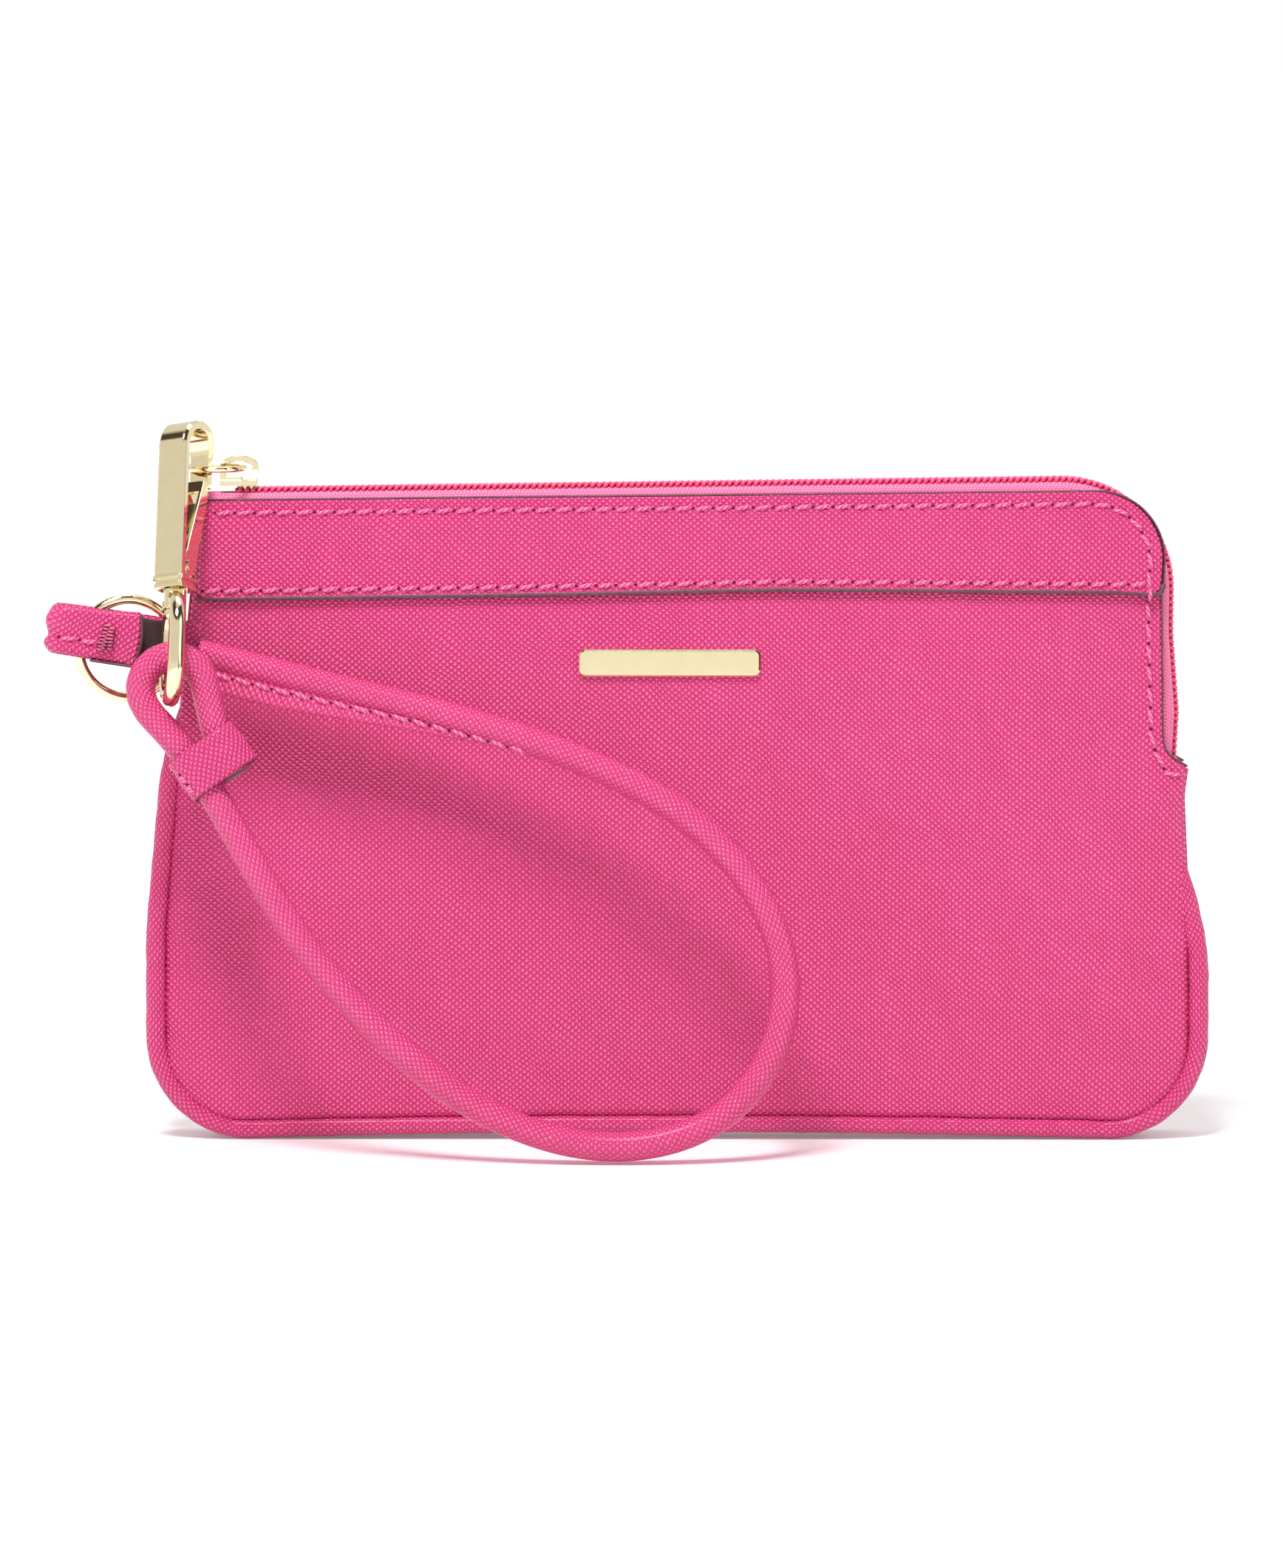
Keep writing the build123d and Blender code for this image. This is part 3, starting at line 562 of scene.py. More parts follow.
# ---------------------------------------------------------------- stitches
def stitch_row(name, places, ahead, side, out, body, slant=0.08, pitch=STITCH_PITCH, slot="leather",
               holes=True, thick=THREAD_RADIUS):
    """A row of slanting stitches with needle holes, along points that lie on the leather."""
    places, ahead, side, out = np.broadcast_arrays(places, ahead, side, out)
    run = np.concatenate(([0], np.cumsum(np.linalg.norm(np.diff(places, axis=0), axis=1))))
    count = max(1, int(run[-1] / pitch))

    def at(values, mark):
        return np.array([np.interp(mark, run, values[:, axis]) for axis in range(3)])

    points, faces, uvs, slots = [], [], [], []
    sides, steps, hole_points = 6, 7, 8
    for number in range(count):
        start = run[-1] * number / count
        base = len(points)
        for step in range(steps):
            share = step / (steps - 1)
            mark = start + (0.07 + 0.86 * share) * run[-1] / count
            height = thick * (1.5 * math.sin(math.pi * share) ** 0.6 - 0.75)
            sway = (share - 0.5) * 2 * slant * pitch
            centre = at(places, mark) + at(side, mark) * sway + at(out, mark) * height
            radius = thick * (0.65 + 0.35 * math.sin(math.pi * share))
            for turn in np.linspace(0, 2 * math.pi, sides, endpoint=False):
                points.append(centre + at(side, mark) * radius * 1.15 * math.cos(turn)
                              + at(out, mark) * radius * math.sin(turn))
        for step in range(steps - 1):
            for turn in range(sides):
                after = (turn + 1) % sides
                faces.append((base + step * sides + turn, base + step * sides + after,
                              base + (step + 1) * sides + after, base + (step + 1) * sides + turn))
                near, far = step * 0.5, (step + 1) * 0.5
                uvs += [(near, turn), (near, turn + 1), (far, turn + 1), (far, turn)]
                slots.append(0)
        for first in (base, base + (steps - 1) * sides):
            corners = tuple(range(first, first + sides))
            faces.append(corners[::-1] if first == base else corners)
            uvs += [(0, turn) for turn in range(sides)]
            slots.append(0)
        if not holes:
            continue
        # Each needle hole is a flat dark disc on the leather: painted shade for the hole's inside.
        centre = at(places, start) + at(out, start) * 0.02
        base = len(points)
        points.append(centre + at(out, start) * 0.05)
        for turn in np.linspace(0, 2 * math.pi, hole_points, endpoint=False):
            points.append(centre + at(ahead, start) * HOLE_HALF[0] * math.cos(turn)
                          + at(side, start) * HOLE_HALF[1] * math.sin(turn))
        for turn in range(hole_points):
            faces.append((base, base + 1 + turn, base + 1 + (turn + 1) % hole_points))
            uvs += [(number, 0), (number, 1), (number + 1, 1)]
            slots.append(1)
    return make_piece(name, points, faces, uvs, (thread, hole), body, slots)


def panel_rail(route, lift, side):
    """Points on a panel along a front-view route, with tangent, sideways and outward directions."""
    flat = rounded(route, False, 1.0)
    depth = surface(flat[:, 0], flat[:, 1], lift, side)
    points = in_space(flat, depth)
    step = 0.2
    slope_x = (surface(flat[:, 0] + step, flat[:, 1], lift, side) - depth) / step
    slope_z = (surface(flat[:, 0], flat[:, 1] + step, lift, side) - depth) / step
    out = unit(np.stack([-slope_x * side, np.full(len(flat), side), -slope_z * side], 1))
    ahead = along(points)
    return points, ahead, np.cross(out, ahead), out


# ---------------------------------------------------------------- pouch
SEAM_ROLL = (1.9, 2.0)        # how far back, and over what inset, a sewn edge rolls
CUT_ROLL = (0.35, 0.5)
PUCKER = 0.09                 # unevenness of the leather beside the piping
GROOVE = (0.2, 0.9)           # depth and half width of the dip along a row of stitches
PANEL_CENTRE = (0, 62)        # where the rows of a panel's mesh meet
BAND_CENTRE = (0, 114.3)
ROW_GROWTH = 1.6              # how the rows widen from the outline to the centre


def shell(name, outline, centre, low, high, side, rows, seams):
    """A sheet of leather over a panel, thick from lift low to high, with rolled edges.

    Its rows of points shrink from the outline to a centre, close together near the outline.
    """
    inner = np.tile(np.array(centre, float), (len(outline), 1))
    length = np.linalg.norm(inner - outline, axis=1)
    # Below the zip's ends a panel's edge is sewn to the piping.
    low_edge = (outline[:, 1] < 70) | (outline[:, 0] < -92.5) & (outline[:, 1] < 80)
    roll = np.where(low_edge, SEAM_ROLL[0], CUT_ROLL[0])
    roll_span = np.where(low_edge, SEAM_ROLL[1], CUT_ROLL[1])
    round_it = np.arange(len(outline))
    pucker = (np.sin(round_it * 0.61) + np.sin(round_it * 0.37 + 1.3)) * np.where(low_edge, PUCKER, 0)

    def ring(share, lift, front):
        flat = outline + (inner - outline) * share
        depth = surface(flat[:, 0], flat[:, 1], lift, side)
        if front:
            inset = share * length
            gap = np.clip(1 - inset / roll_span, 0, 1)
            back = roll * (1 - np.sqrt(np.maximum(0, 1 - gap ** 2))) - pucker * np.exp(-inset / 4)
            for seam in seams:
                back += GROOVE[0] * np.exp(-(distance_to(seam, flat) / GROOVE[1]) ** 2)
            depth -= side * back
        return in_space(flat, depth)

    shares = [0.99 * (row / rows) ** ROW_GROWTH for row in range(rows + 1)]
    rings = [ring(share, low, False) for share in (0.99, 0.7, 0.4, 0.2, 0.08, 0.0)]
    rings += [ring(share, high, True) for share in shares]
    if side > 0:
        rings = [points[::-1] for points in rings]
    piece = loft(name, rings, (leather,), "pouch", planar=True)
    mesh = bmesh.new()
    mesh.from_mesh(piece.data)
    bmesh.ops.recalc_face_normals(mesh, faces=mesh.faces)
    mesh.to_mesh(piece.data)
    mesh.free()
    return piece


panel_outline = rounded(PANEL, True, 1.4)
band_outline = rounded(BAND_OUTLINE, True, 1.2)
top_seam = rounded(TOP_SEAM, False, 0.5)
band_seam = rounded(BAND_SEAM, False, 0.5)
for side, name in ((-1, "front_panel"), (1, "back_panel")):
    piece = shell(name + "_leather", panel_outline, PANEL_CENTRE, 0.0, LEATHER, side, 46, (top_seam,))
    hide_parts(name)
band_piece = shell("front_band_leather", band_outline, BAND_CENTRE, LEATHER, LEATHER + BAND + 0.1, -1,
                   34, (top_seam, band_seam))
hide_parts("front_band")


def edge_bead(name, route, side, low, high, half_thick):
    """Painted cut edge of leather that lies between two lifts."""
    flat = rounded(route, False, 1.0)
    line = in_space(flat, surface(flat[:, 0], flat[:, 1], (low + high) / 2, side))
    deep = np.array([0.0, side, 0.0])
    across = unit(np.cross(along(line), deep))
    shape = ellipse(half_thick, (high - low) / 2 + 0.12, 12, 0.6)
    rings = profile_rings(line, across, deep, shape)
    return loft(name, rings, (paint,), "pouch")


edge_bead("band_foot_edge", BAND_FOOT, -1, LEATHER - 0.2, LEATHER + BAND, 0.48)
edge_bead("front_zip_edge", CUT_EDGE, -1, 0.1, LEATHER + 0.05, 0.2)
edge_bead("band_zip_edge", ((-90.2, 122.8, 0), (93.7, 124.7, 13), (92.7, 105.2, 0)), -1, LEATHER,
          LEATHER + BAND, 0.2)
edge_bead("back_zip_edge", CUT_EDGE, 1, 0.1, LEATHER + 0.05, 0.2)

stitch_row("band_foot_stitches", *panel_rail(BAND_SEAM, LEATHER + BAND - 0.05, -1), "pouch")
upper_seam = TOP_SEAM[:2] + ((89.8, 105.6, 0),)
lower_seam = ((89.8, 103.6, 0),) + TOP_SEAM[3:]
stitch_row("band_top_stitches", *panel_rail(upper_seam, LEATHER + BAND - 0.05, -1), "pouch")
stitch_row("front_side_stitches", *panel_rail(lower_seam, LEATHER - 0.1, -1), "pouch")
cross_top, cross_foot = (surface(np.array([x]), np.array([z]), lift, -1)[0] for x, z, lift in
                         ((90.3, 106.3, LEATHER + BAND + 0.15), (89.9, 103.4, LEATHER + 0.1)))
stitch_row("crossing_stitch", [(90.3, cross_top, 106.3), (90.2, cross_top - 0.1, 104.5),
                               (89.9, cross_foot, 103.4)],
           (0, 0, -1), (1, 0, 0), (0, -1, 0), "pouch", slant=0.02, pitch=2.6, holes=False)
stitch_row("back_top_stitches", *panel_rail(TOP_SEAM, LEATHER - 0.1, 1), "pouch")


def piping(name, side):
    """Piped seam: a leather-covered cord whose cover gathers slightly, thinning into the right seam."""
    flat = rounded(PIPING_ROUTE, False, 1.0)
    line = in_space(flat, side * (rim_depth(flat[:, 1]) + LEATHER / 2))
    across, out = transported(line, (1, 0, 0))
    count = len(line)
    rings = []
    for row in range(count):
        to_end = count - 1 - row
        thin = 0.45 + 0.55 * min(1, to_end / 9) ** 0.7
        thin *= 0.6 + 0.4 * min(1, row / 6)
        gather = 1 + 0.018 * math.sin(row * 0.83) + 0.014 * math.sin(row * 1.47 + side)
        radius = PIPING_RADIUS * thin * gather
        rings.append([line[row] + across[row] * a + out[row] * o for a, o in ellipse(radius, radius, 16)])
    piece = loft(name + "_leather", rings, (leather,), "pouch")
    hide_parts(name)


piping("front_piping", -1)
piping("back_piping", 1)


def gusset():
    """The strip between the panels, from the zip's left end, under the pouch to its right end."""
    silhouette = rounded(SILHOUETTE, True, 1.2)
    keep = (silhouette[:, 1] < 74) | (silhouette[:, 0] < -91)
    start = int(np.argmax(~keep & np.roll(keep, 1)))
    path = np.roll(silhouette, -start, axis=0)
    path = path[keep[(np.arange(len(path)) + start) % len(path)]]
    line = in_space(path, 0.0)
    columns = np.linspace(-1, 1, 9)

    def strip(row):
        half = rim_depth(line[row][2]) + 0.2
        outer = [(0.25 + 0.5 * (1 - column ** 2), half * column) for column in columns]
        return outer + [(a + GUSSET, o) for a, o in outer[::-1]]

    rings = profile_rings(line, inwards(line), (0.0, 1.0, 0.0), strip)
    piece = loft("gusset_leather", rings, (leather,), "pouch")
    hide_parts("gusset")


gusset()


# ---------------------------------------------------------------- zip
def zip_frame(spacing):
    """The zip's line along the top and right side, with its inward direction."""
    line = in_space(rounded(ZIP_ROUTE, False, spacing), 0.0)
    return line, inwards(line)


def zip_coil(name, side):
    """A nylon coil: one turn for each tooth, flattened, half a pitch off its partner."""
    turn_points = 12
    line, inward = zip_frame(COIL_PITCH / turn_points)
    deep = np.array([0.0, side, 0.0])
    phase = 0 if side < 0 else math.pi
    turns = np.arange(len(line)) * 2 * math.pi / turn_points + phase
    turns, line, inward = (values[line[:, 0] > COIL_START_X] for values in (turns, line, inward))
    tall = COIL_TALL + COIL_TURNED * np.clip((124 - line[:, 2]) / 22, 0, 1)
    middle = line + inward * (tall + COIL_WIRE)[:, None] + deep * COIL_MIDDLE
    path = (middle - inward * (tall * np.sin(turns))[:, None]
            + deep * (COIL_REACH * np.cos(turns))[:, None])
    across, out = transported(path, (0, 1, 0))
    rings = profile_rings(path, across, out, ellipse(COIL_WIRE, COIL_WIRE, 6))
    piece = loft(name + "_turns", rings, (nylon,), "pouch")
    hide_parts(name)


def zip_tape(name, side):
    """Woven tape: flat beside the coil, bending down behind the leather's cut edge."""
    line, inward = zip_frame(0.8)

    def behind(row, inset):
        """Depth of the leather's inner face at an inset from the zip's line."""
        place = line[row] + inward[row] * inset
        return abs(surface(place[0:1], place[2:3], 0.0, side)[0]) - 0.03

    def section(row):
        near, middle, foot = (behind(row, inset) for inset in (TAPE_TOP + 1.0, TAPE_TOP + 1.8, TAPE_FOOT))
        outer = [(TAPE_TOP, 0.04), (TAPE_TOP + 0.05, 1.6), (TAPE_TOP + 0.45, near - 1.1),
                 (TAPE_TOP + 1.0, near - 0.35), (TAPE_TOP + 1.8, middle), (TAPE_FOOT, foot)]
        inner = [(a + 0.4, o - TAPE_THICK) for a, o in outer[1:-1]]
        return outer + [(TAPE_FOOT, foot - TAPE_THICK)] + inner[::-1] + [(TAPE_TOP + 0.45, 0.04)]

    rings = profile_rings(line, inward, (0.0, side, 0.0), section)
    piece = loft(name + "_weave", rings, (tape,), "pouch")
    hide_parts(name)


for side, end in ((-1, "front"), (1, "back")):
    zip_coil("zip_coil_" + end, side)
    zip_tape("zip_tape_" + end, side)


# ---------------------------------------------------------------- wrist strap
strap_line = spline_line(STRAP_ROUTE, 0.9)
strap_length = float(np.linalg.norm(np.diff(strap_line, axis=0), axis=1).sum())
strap_run = np.linspace(0, strap_length, len(strap_line))
strap_ahead = along(strap_line)
strap_side, strap_out = transported(strap_line, (0, 0, -1))


def strap():
    """The rolled leather strap, creased a little where it bends through the swivel ring."""
    bend = np.linalg.norm(np.gradient(strap_ahead, axis=0), axis=1)
    rings = []
    for row, place in enumerate(strap_line):
        crease = 0.10 * min(1, bend[row] / 0.12) * math.sin(strap_run[row] * 2.3)
        radius = STRAP_DIA / 2 + crease * 0.5 + 0.05 * math.sin(strap_run[row] / 7)
        turns = np.linspace(0, 2 * math.pi, 40, endpoint=False)
        rings.append([place + radius * (strap_side[row] * math.cos(t) + strap_out[row] * math.sin(t))
                      for t in turns])
    piece = loft("strap_roll", rings, (strap_leather, suede), "wrist_strap", cap_slot=1)
    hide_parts("wrist_strap")
    return piece


def flange():
    """The strap's stitched seam, a flat lip below the roll that runs out into it."""
    keep = strap_run < FLANGE_LENGTH
    line, ahead = strap_line[keep], strap_ahead[keep]
    down = np.array([0.0, -0.25, -1.0])
    down = unit(down - ahead * (down * ahead).sum(1)[:, None])
    out = np.cross(ahead, down)
    out *= np.sign(-out[:, 1])[:, None]
    fade = np.clip((FLANGE_LENGTH - strap_run[keep]) / (0.75 * FLANGE_LENGTH), 0.02, 1) ** 0.8
    wide = FLANGE_WIDTH * fade
    middle = line + down * (STRAP_DIA / 2 - 1.2 + wide / 2 - 0.2)[:, None] + out * 0.5

    def section(row):
        return ellipse(wide[row] / 2 + 1.0, FLANGE_HALF_THICK, 14, 0.55)

    rings = profile_rings(middle, down, out, section)
    piece = loft("strap_flange", rings, (strap_leather,), "wrist_strap")
    seam = line + down * (STRAP_DIA / 2 - 0.4 + 0.25 * wide)[:, None] + out * (0.5 + FLANGE_HALF_THICK)
    stitches = stitch_row("strap_flange_stitches", seam, ahead, down, out, "wrist_strap",
                          slot="strap_leather")
    return [piece, stitches]


KEEPER_AT = (-87.9, -27.9, 74.4)
KEEPER_AXIS = (0.588, -0.17, -0.809)
KEEPER_ACROSS = (0.809, 0.118, 0.588)
KEEPER_LENGTH = 8.6
KEEPER_HALF = (6.9, 3.75)     # half width and half depth outside
KEEPER_WALL = 1.0


def keeper():
    """A folded leather band round both strands, its ends sewn together on the left."""
    axis, across = unit(np.array(KEEPER_AXIS)), np.array(KEEPER_ACROSS)
    across = unit(across - axis * (across @ axis))
    front = np.cross(across, axis)
    front *= np.sign(-front[1])
    turns = np.linspace(0, 2 * math.pi, 48, endpoint=False)

    def ring(level, grow, pinch):
        places = []
        for turn in turns:
            a, o = math.cos(turn), math.sin(turn)
            wide = KEEPER_HALF[0] * math.copysign(abs(a) ** 0.55, a) * grow
            deep = KEEPER_HALF[1] * math.copysign(abs(o) ** 0.75, o) * grow
            tip = 0.9 * max(0, a) ** 12 * pinch
            waist = 0.3 * (math.cos(2 * turn) - 1) * math.sin(turn) ** 2 * 0.3
            places.append(np.array(KEEPER_AT) + axis * level + across * (wide + tip)
                          + front * (deep + waist * math.copysign(1, o)))
        return places

    half = KEEPER_LENGTH / 2
    thin = 1 - KEEPER_WALL / KEEPER_HALF[1] * 0.8
    levels = np.linspace(-half, half, 12)
    rings = [ring(levels[0], thin, 0), ring(levels[0], 0.97, 1)]
    rings += [ring(level, 1.0 + 0.02 * math.cos(level * 1.3), 1) for level in levels[1:-1]]
    rings += [ring(levels[-1], 0.97, 1), ring(levels[-1], thin, 0)]
    rings += [ring(level, thin, 0) for level in levels[-2:0:-3]]
    rings += [ring(levels[0], thin, 0)]

    def painted(row, place):
        return 1 if row == 0 or row == 12 else 0

    band = loft("keeper_band", rings, (leather, paint), "wrist_strap",
                caps=(False, False), band=painted)
    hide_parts("strap_keeper")
    left = np.array(KEEPER_AT) - across * (KEEPER_HALF[0] - 0.9) + front * (KEEPER_HALF[1] - 1.0)
    rows = [left + axis * level for level in np.linspace(-1.2, 3.4, 8)]
    knot = stitch_row("keeper_stitches", rows, axis, across, (front - across) / math.sqrt(2),
                      "wrist_strap", pitch=1.6, slot="strap_leather")
    return [band, knot]


END_BACK_Y = -13.2            # depths of the back and the front layer
END_FRONT_Y = -17.2
END_FOLD_X = -116.7           # where the fold, the front layer's cut and the rolled strap begin
END_CUT_X = -101.8
END_RIGHT_X = -89.0
END_AT = (-104.5, 0.0, 97.1)
END_SLOPE = math.radians(8.6)
END_HALF_TALL = 4.8
END_THICK = 0.62
END_BOW = (0.8, 3.4)          # how far the cut end bows to the right, and how tall the bow is
# (height, level, half width) of the puffy fold's two rolls and of the groove its stitches draw in.
FOLD_RELIEF = ((1.0, 1.4, 2.0), (0.8, -3.0, 1.2), (-0.25, -1.5, 0.5))
BARTACK_X = -108.0


def strap_bar(name, places, across, out, profile, material):
    """A straight-sided piece of the strap end, along points with fixed directions."""
    rings = profile_rings(places, across, out, profile)
    return loft(name, rings, (material,), "wrist_strap")


def strap_end():
    """The strap's flat end: back layer, round fold to the left, and a front layer cut off short."""
    right = np.array([math.cos(END_SLOPE), 0, -math.sin(END_SLOPE)])
    up = np.array([math.sin(END_SLOPE), 0, math.cos(END_SLOPE)])
    radius = (END_BACK_Y - END_FRONT_Y) / 2
    middle_y = (END_BACK_Y + END_FRONT_Y) / 2
    flat = [(x, END_BACK_Y) for x in np.linspace(END_RIGHT_X - 1.5, END_FOLD_X, 26)]
    flat += [(END_FOLD_X - radius * math.sin(t), middle_y + radius * math.cos(t))
             for t in np.linspace(0.25, math.pi - 0.25, 9)]
    flat += [(x, END_FRONT_Y) for x in np.linspace(END_FOLD_X, END_CUT_X, 18)]
    line = np.array([np.array(END_AT) + right * (x - END_AT[0]) + np.array([0, y, 0]) for x, y in flat])
    line = resample(line, 0.8)
    ahead = along(line)
    out = np.cross(ahead, up)
    run = np.arange(len(line)) * 0.8
    total = run[-1]
    fold = total - (END_CUT_X - END_FOLD_X) - math.pi * radius / 2

    def bow(height):
        return END_BOW[0] * (math.cos(height / END_BOW[1]) - 1)

    def section(row):
        to_cut = total - run[row]
        puff = math.exp(-((run[row] - fold) / 6.5) ** 2)
        tall = END_HALF_TALL + 0.7 * math.exp(-to_cut / 5)
        top = tall - 0.2 * puff
        shape = []
        for share in np.linspace(0, 1, 13):
            level = tall - 2 * tall * share
            relief = puff * sum(high * math.exp(-((level - middle) / wide) ** 2)
                                for high, middle, wide in FOLD_RELIEF)
            edge = math.sqrt(max(0.0, 1 - (2 * share - 1) ** 8))
            shape.append((min(level, top), (END_THICK + relief) * edge + 0.02))
        back = [(level, -0.5 * (depth + END_THICK)) for level, depth in shape[1:-1]]
        return shape + back[::-1]

    rings = profile_rings(line, up, out, section)
    last = np.array(rings[-1])
    for level in range(len(last)):
        height = (last[level] - line[-1]) @ up
        rings[-1][level] = last[level] + right * bow(height)

    def lined(row, place):
        return 1 if 13 <= place < 22 and row > len(rings) * 0.5 else 0

    fold_piece = loft("strap_end_leather", rings, (leather, suede, paint), "wrist_strap",
                      band=lined, cap_slot=2)
    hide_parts("strap_end_fold")
    front = np.array([0, -1.0, 0])
    base = np.array(END_AT) + front * -END_FRONT_Y
    cut = [base + right * (END_CUT_X - END_AT[0] + 0.2 + bow(h)) + up * h
           for h in np.linspace(-4.9, 4.9, 14)]
    cut_edge = strap_bar("strap_end_edge", cut, right, front, ellipse(0.35, 0.85, 10, 0.7), paint)
    low = [base + right * (x - END_AT[0]) + up * (-END_HALF_TALL - 0.25) for x in
           np.linspace(END_FOLD_X + 6, END_CUT_X, 12)]
    low_edge = strap_bar("strap_end_low_edge", low, up, front, ellipse(0.3, 0.7, 10, 0.7), paint)
    seam = [base + right * (x - END_AT[0]) + up * -1.5 + front * 0.7 for x in
            np.linspace(END_FOLD_X - 0.5, END_FOLD_X + 7.5, 10)]
    seam_stitches = stitch_row("strap_end_stitches", seam, right, up, front, "wrist_strap",
                               pitch=2.7, slot="strap_leather")
    # A strip of the leather's dark raw back lies on the back layer beside the front layer's cut; its darkness
    # is partly painted shade for the gap under the cut end.
    inner = [np.array(END_AT) + np.array([0, END_BACK_Y - 0.75, 0]) + right * (x - END_AT[0])
             for x in np.linspace(END_CUT_X - 6, END_CUT_X + 6.0, 12)]
    raw_back_and_shade = strap_bar("strap_end_raw_back_and_shade", inner, up, front, ellipse(4.1, 0.35, 14, 0.6), suede)
    return [fold_piece, cut_edge, low_edge, seam_stitches, raw_back_and_shade], (base, right, up, front)


def bartack(base, right, up, front):
    """A small cross of tight stitches that holds the fold shut over the ring."""
    middle = base + right * (BARTACK_X - END_AT[0]) + front * 1.15 - up * 0.3
    pieces = []
    for number, (lean, reach) in enumerate(((0.15, 2.7), (0.32, 2.4), (-0.05, 2.2))):
        way = up * math.cos(lean) + right * math.sin(lean)
        side = np.cross(way, front)
        rows = [middle + right * (0.66 * (number - 1)) + way * level
                + front * 0.35 * math.cos(level) for level in np.linspace(-reach, reach, 12)]
        name = "bartack_" + "abc"[number]
        pieces.append(stitch_row(name, rows, way, side, front, "wrist_strap",
                                 slant=0.8 - 0.4 * number, pitch=0.64, slot="thread", holes=False,
                                 thick=0.5))
    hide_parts("end_bartack")
    return pieces


strap_piece = strap()
on_strap = flange() + keeper()
end_pieces, end_axes = strap_end()
on_strap += end_pieces + bartack(*end_axes)

# ---------------------------------------------------------------- finishes on CAD nodes
FINISHES = {"gold_metal": gold, "lining": twill, "spring_steel": spring}
for part in frame["record"]["subparts"]:
    finish = FINISHES.get(part["material_slot"])
    if finish:
        node = frame["nodes"][part["node"]]
        node.data.materials.clear()
        node.data.materials.append(finish)

# ---------------------------------------------------------------- stage, light and camera
# From here on lengths are in metres and the lamps' powers in watts.
FLOOR_HALF = 60.0
FLOOR_WHITE = (0.84, 0.84, 0.84, 1)
# Painted light: the floor glows, fainter beside the pouch than far from it.
FLOOR_GLOW = (0.12, 0.42)     # what the floor gives off beside the pouch and far from it
FLOOR_GLOW_FROM, FLOOR_GLOW_OVER = 133, 380     # in millimetres
floor_mesh = bpy.data.meshes.new("floor")
floor_mesh.from_pydata([(x * FLOOR_HALF, y * FLOOR_HALF, 0) for x, y in ((-1, -1), (1, -1), (1, 1), (-1, 1))],
                       [], [(0, 1, 2, 3)])
floor = put("floor", floor_mesh)
floor_nodes = Nodes("pale_floor", Roughness=0.35, Specular_IOR_Level=0.3, Base_Color=FLOOR_WHITE,
                    Emission_Color=(1, 1, 1, 1))
spread = floor_nodes.add("VectorMath", [floor_nodes.place("Object")], operation="LENGTH").node
far_share = floor_nodes.math("MULTIPLY_ADD", spread.outputs["Value"], 1 / FLOOR_GLOW_OVER,
                             -FLOOR_GLOW_FROM / FLOOR_GLOW_OVER)
far_share.node.use_clamp = True
floor_nodes.set("Emission Strength", floor_nodes.between(far_share, *FLOOR_GLOW))
floor_mesh.materials.append(floor_nodes.material)

world = bpy.data.worlds.new("studio")
bpy.context.scene.world = world
world.use_nodes = True
sky = world.node_tree.nodes["Background"]

# The room is white, dimmer overhead, and dark above the camera, for polished metal to mirror.
SKY_GLOW = ((0.12, (1.0, 1.0, 1.0)), (0.35, (0.84, 0.84, 0.84)))     # (height, colour) stops
SKY_FLAG = ((0.63, (1.0, 1.0, 1.0)), (0.68, (0.10, 0.075, 0.06)), (0.94, (0.10, 0.075, 0.06)),
            (0.99, (1.0, 1.0, 1.0)))
studio = Tree(world.node_tree)
way = studio.split(studio.add("TexCoord"))
glow = studio.ramp(way[2], *SKY_GLOW)
dimmed = studio.add("VectorMath", [glow, studio.ramp(way[2], *SKY_FLAG)], operation="MULTIPLY")
ahead_of_it = studio.math("MULTIPLY_ADD", way[1], -5.0, 2.0)
ahead_of_it.node.use_clamp = True
studio.tree.links.new(studio.add("MixRGB", [ahead_of_it, glow, dimmed]), sky.inputs[0])
sky.inputs[1].default_value = 1.0


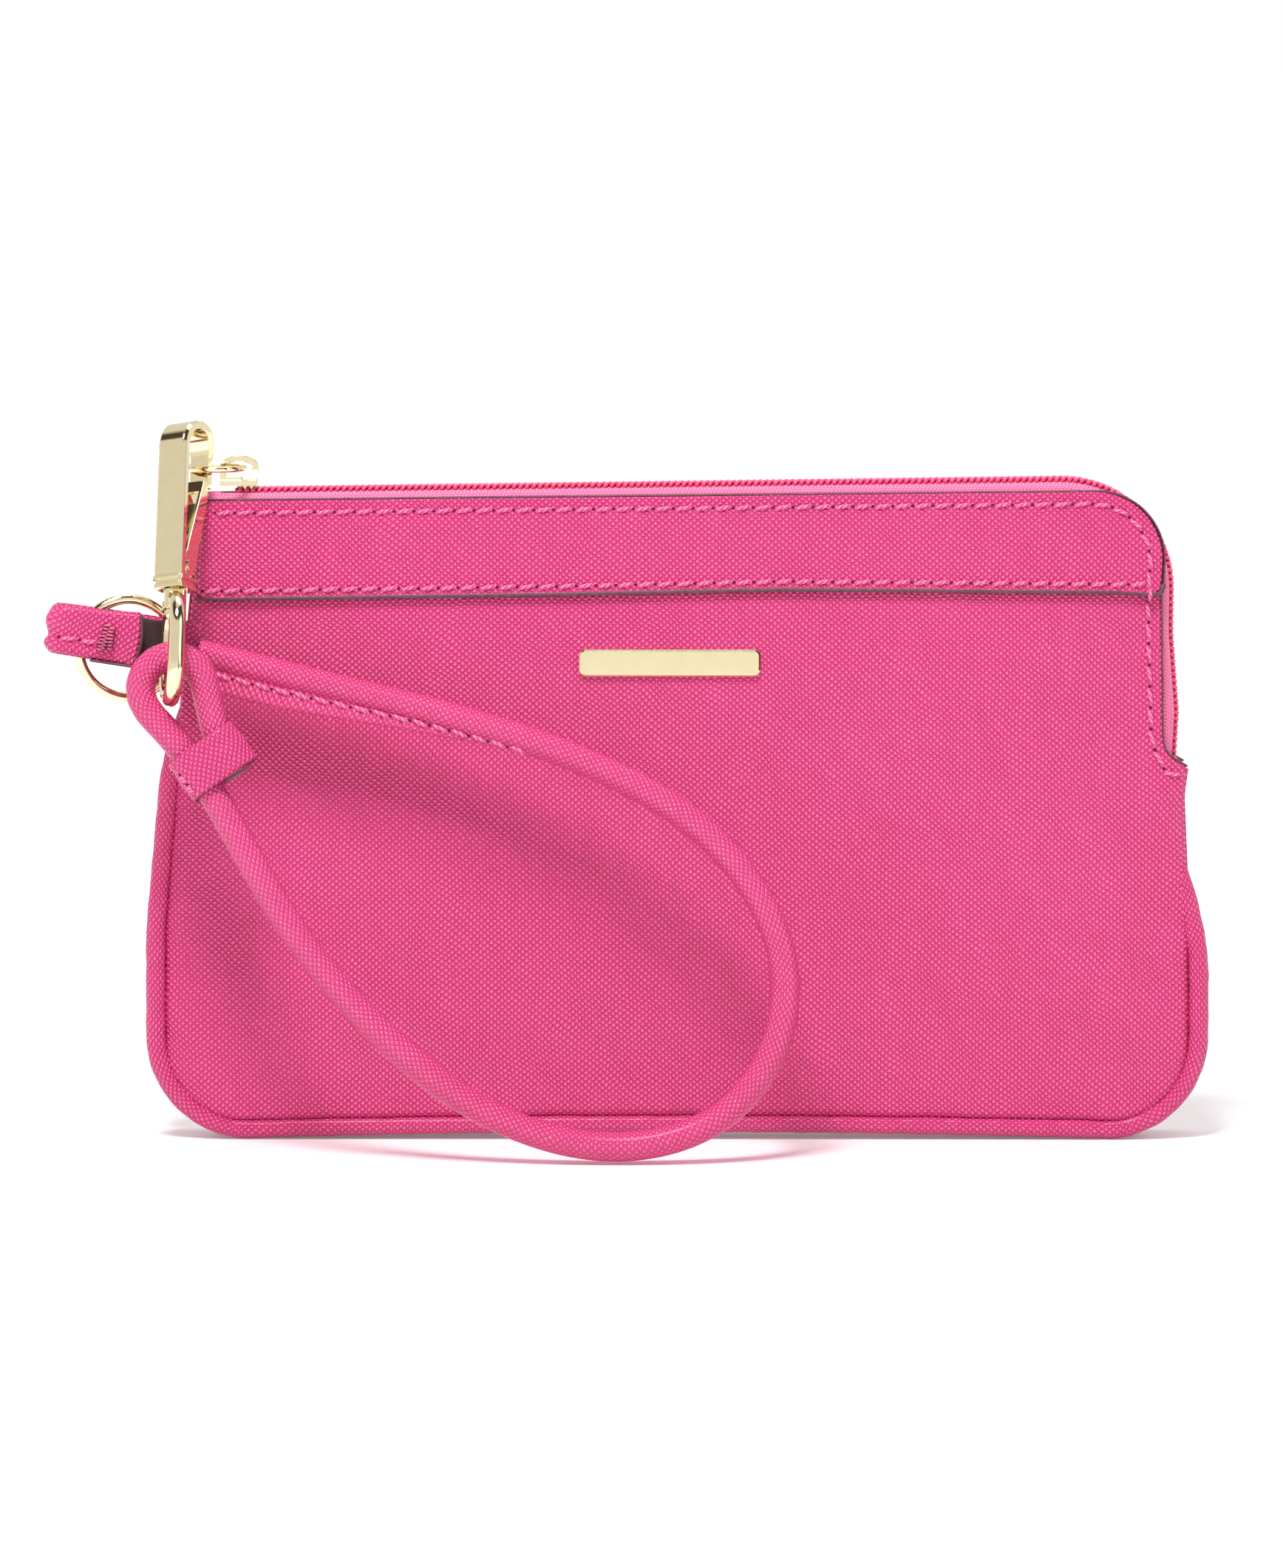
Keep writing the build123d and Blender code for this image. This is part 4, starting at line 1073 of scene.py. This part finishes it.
def aim(thing, place, target):
    """Stand a lamp or camera at a place, looking at a target."""
    thing.location = place
    thing.rotation_euler = (Vector(target) - Vector(place)).to_track_quat("-Z", "Y").to_euler()


def soft_light(name, place, target, size, power):
    """A rectangular lamp aimed at a target."""
    light = bpy.data.lights.new(name, "AREA")
    light.shape = "RECTANGLE"
    light.size, light.size_y = size
    light.energy = power
    aim(put(name, light), place, target)


def flag_card(name, angle, wide, far=0.7, tall=0.9):
    """A black card beside the camera, seen only in reflections."""
    middle = Vector((math.sin(angle), -math.cos(angle), 0)) * far
    half = Vector((math.cos(angle), math.sin(angle), 0)) * wide / 2
    mesh = bpy.data.meshes.new(name)
    mesh.from_pydata([middle - half, middle + half, middle + half + Vector((0, 0, tall)),
                      middle - half + Vector((0, 0, tall))], [], [(0, 1, 2, 3)])
    nodes = Nodes(name, Roughness=0.9, Specular_IOR_Level=0.0, Base_Color=(0.03, 0.022, 0.018, 1))
    mesh.materials.append(nodes.material)
    card = put(name, mesh)
    card.visible_camera = False


soft_light("key", (-0.2, -0.62, 1.3), (0, 0, 0.06), (0.4, 0.4), 23.5)
flag_card("card_right", math.radians(42), 0.13)
flag_card("card_side", math.radians(86), 0.3)
soft_light("fill", (1.0, -0.8, 0.6), (0, 0, 0.06), (0.5, 0.9), 2.5)
soft_light("top", (0.1, 0.3, 1.2), (0, 0, 0.05), (0.9, 0.5), 3)

VIEW_FROM = (0.0, -1.5, 0.21)
VIEW_TO = (-0.0068, -0.008, 0.0686)
VIEW_TALL = 0.2996            # height of the picture at the object
SENSOR = 36.0
camera_data = bpy.data.cameras.new("camera")
camera_data.sensor_width = SENSOR
camera_data.sensor_fit = "VERTICAL"
camera_data.sensor_height = SENSOR
reach = (Vector(VIEW_TO) - Vector(VIEW_FROM)).length
camera_data.lens = SENSOR * reach / VIEW_TALL
camera_data.clip_start = 0.01
camera = put("camera", camera_data)
aim(camera, VIEW_FROM, VIEW_TO)
bpy.context.scene.camera = camera
bpy.context.scene.view_settings.view_transform = "Standard"
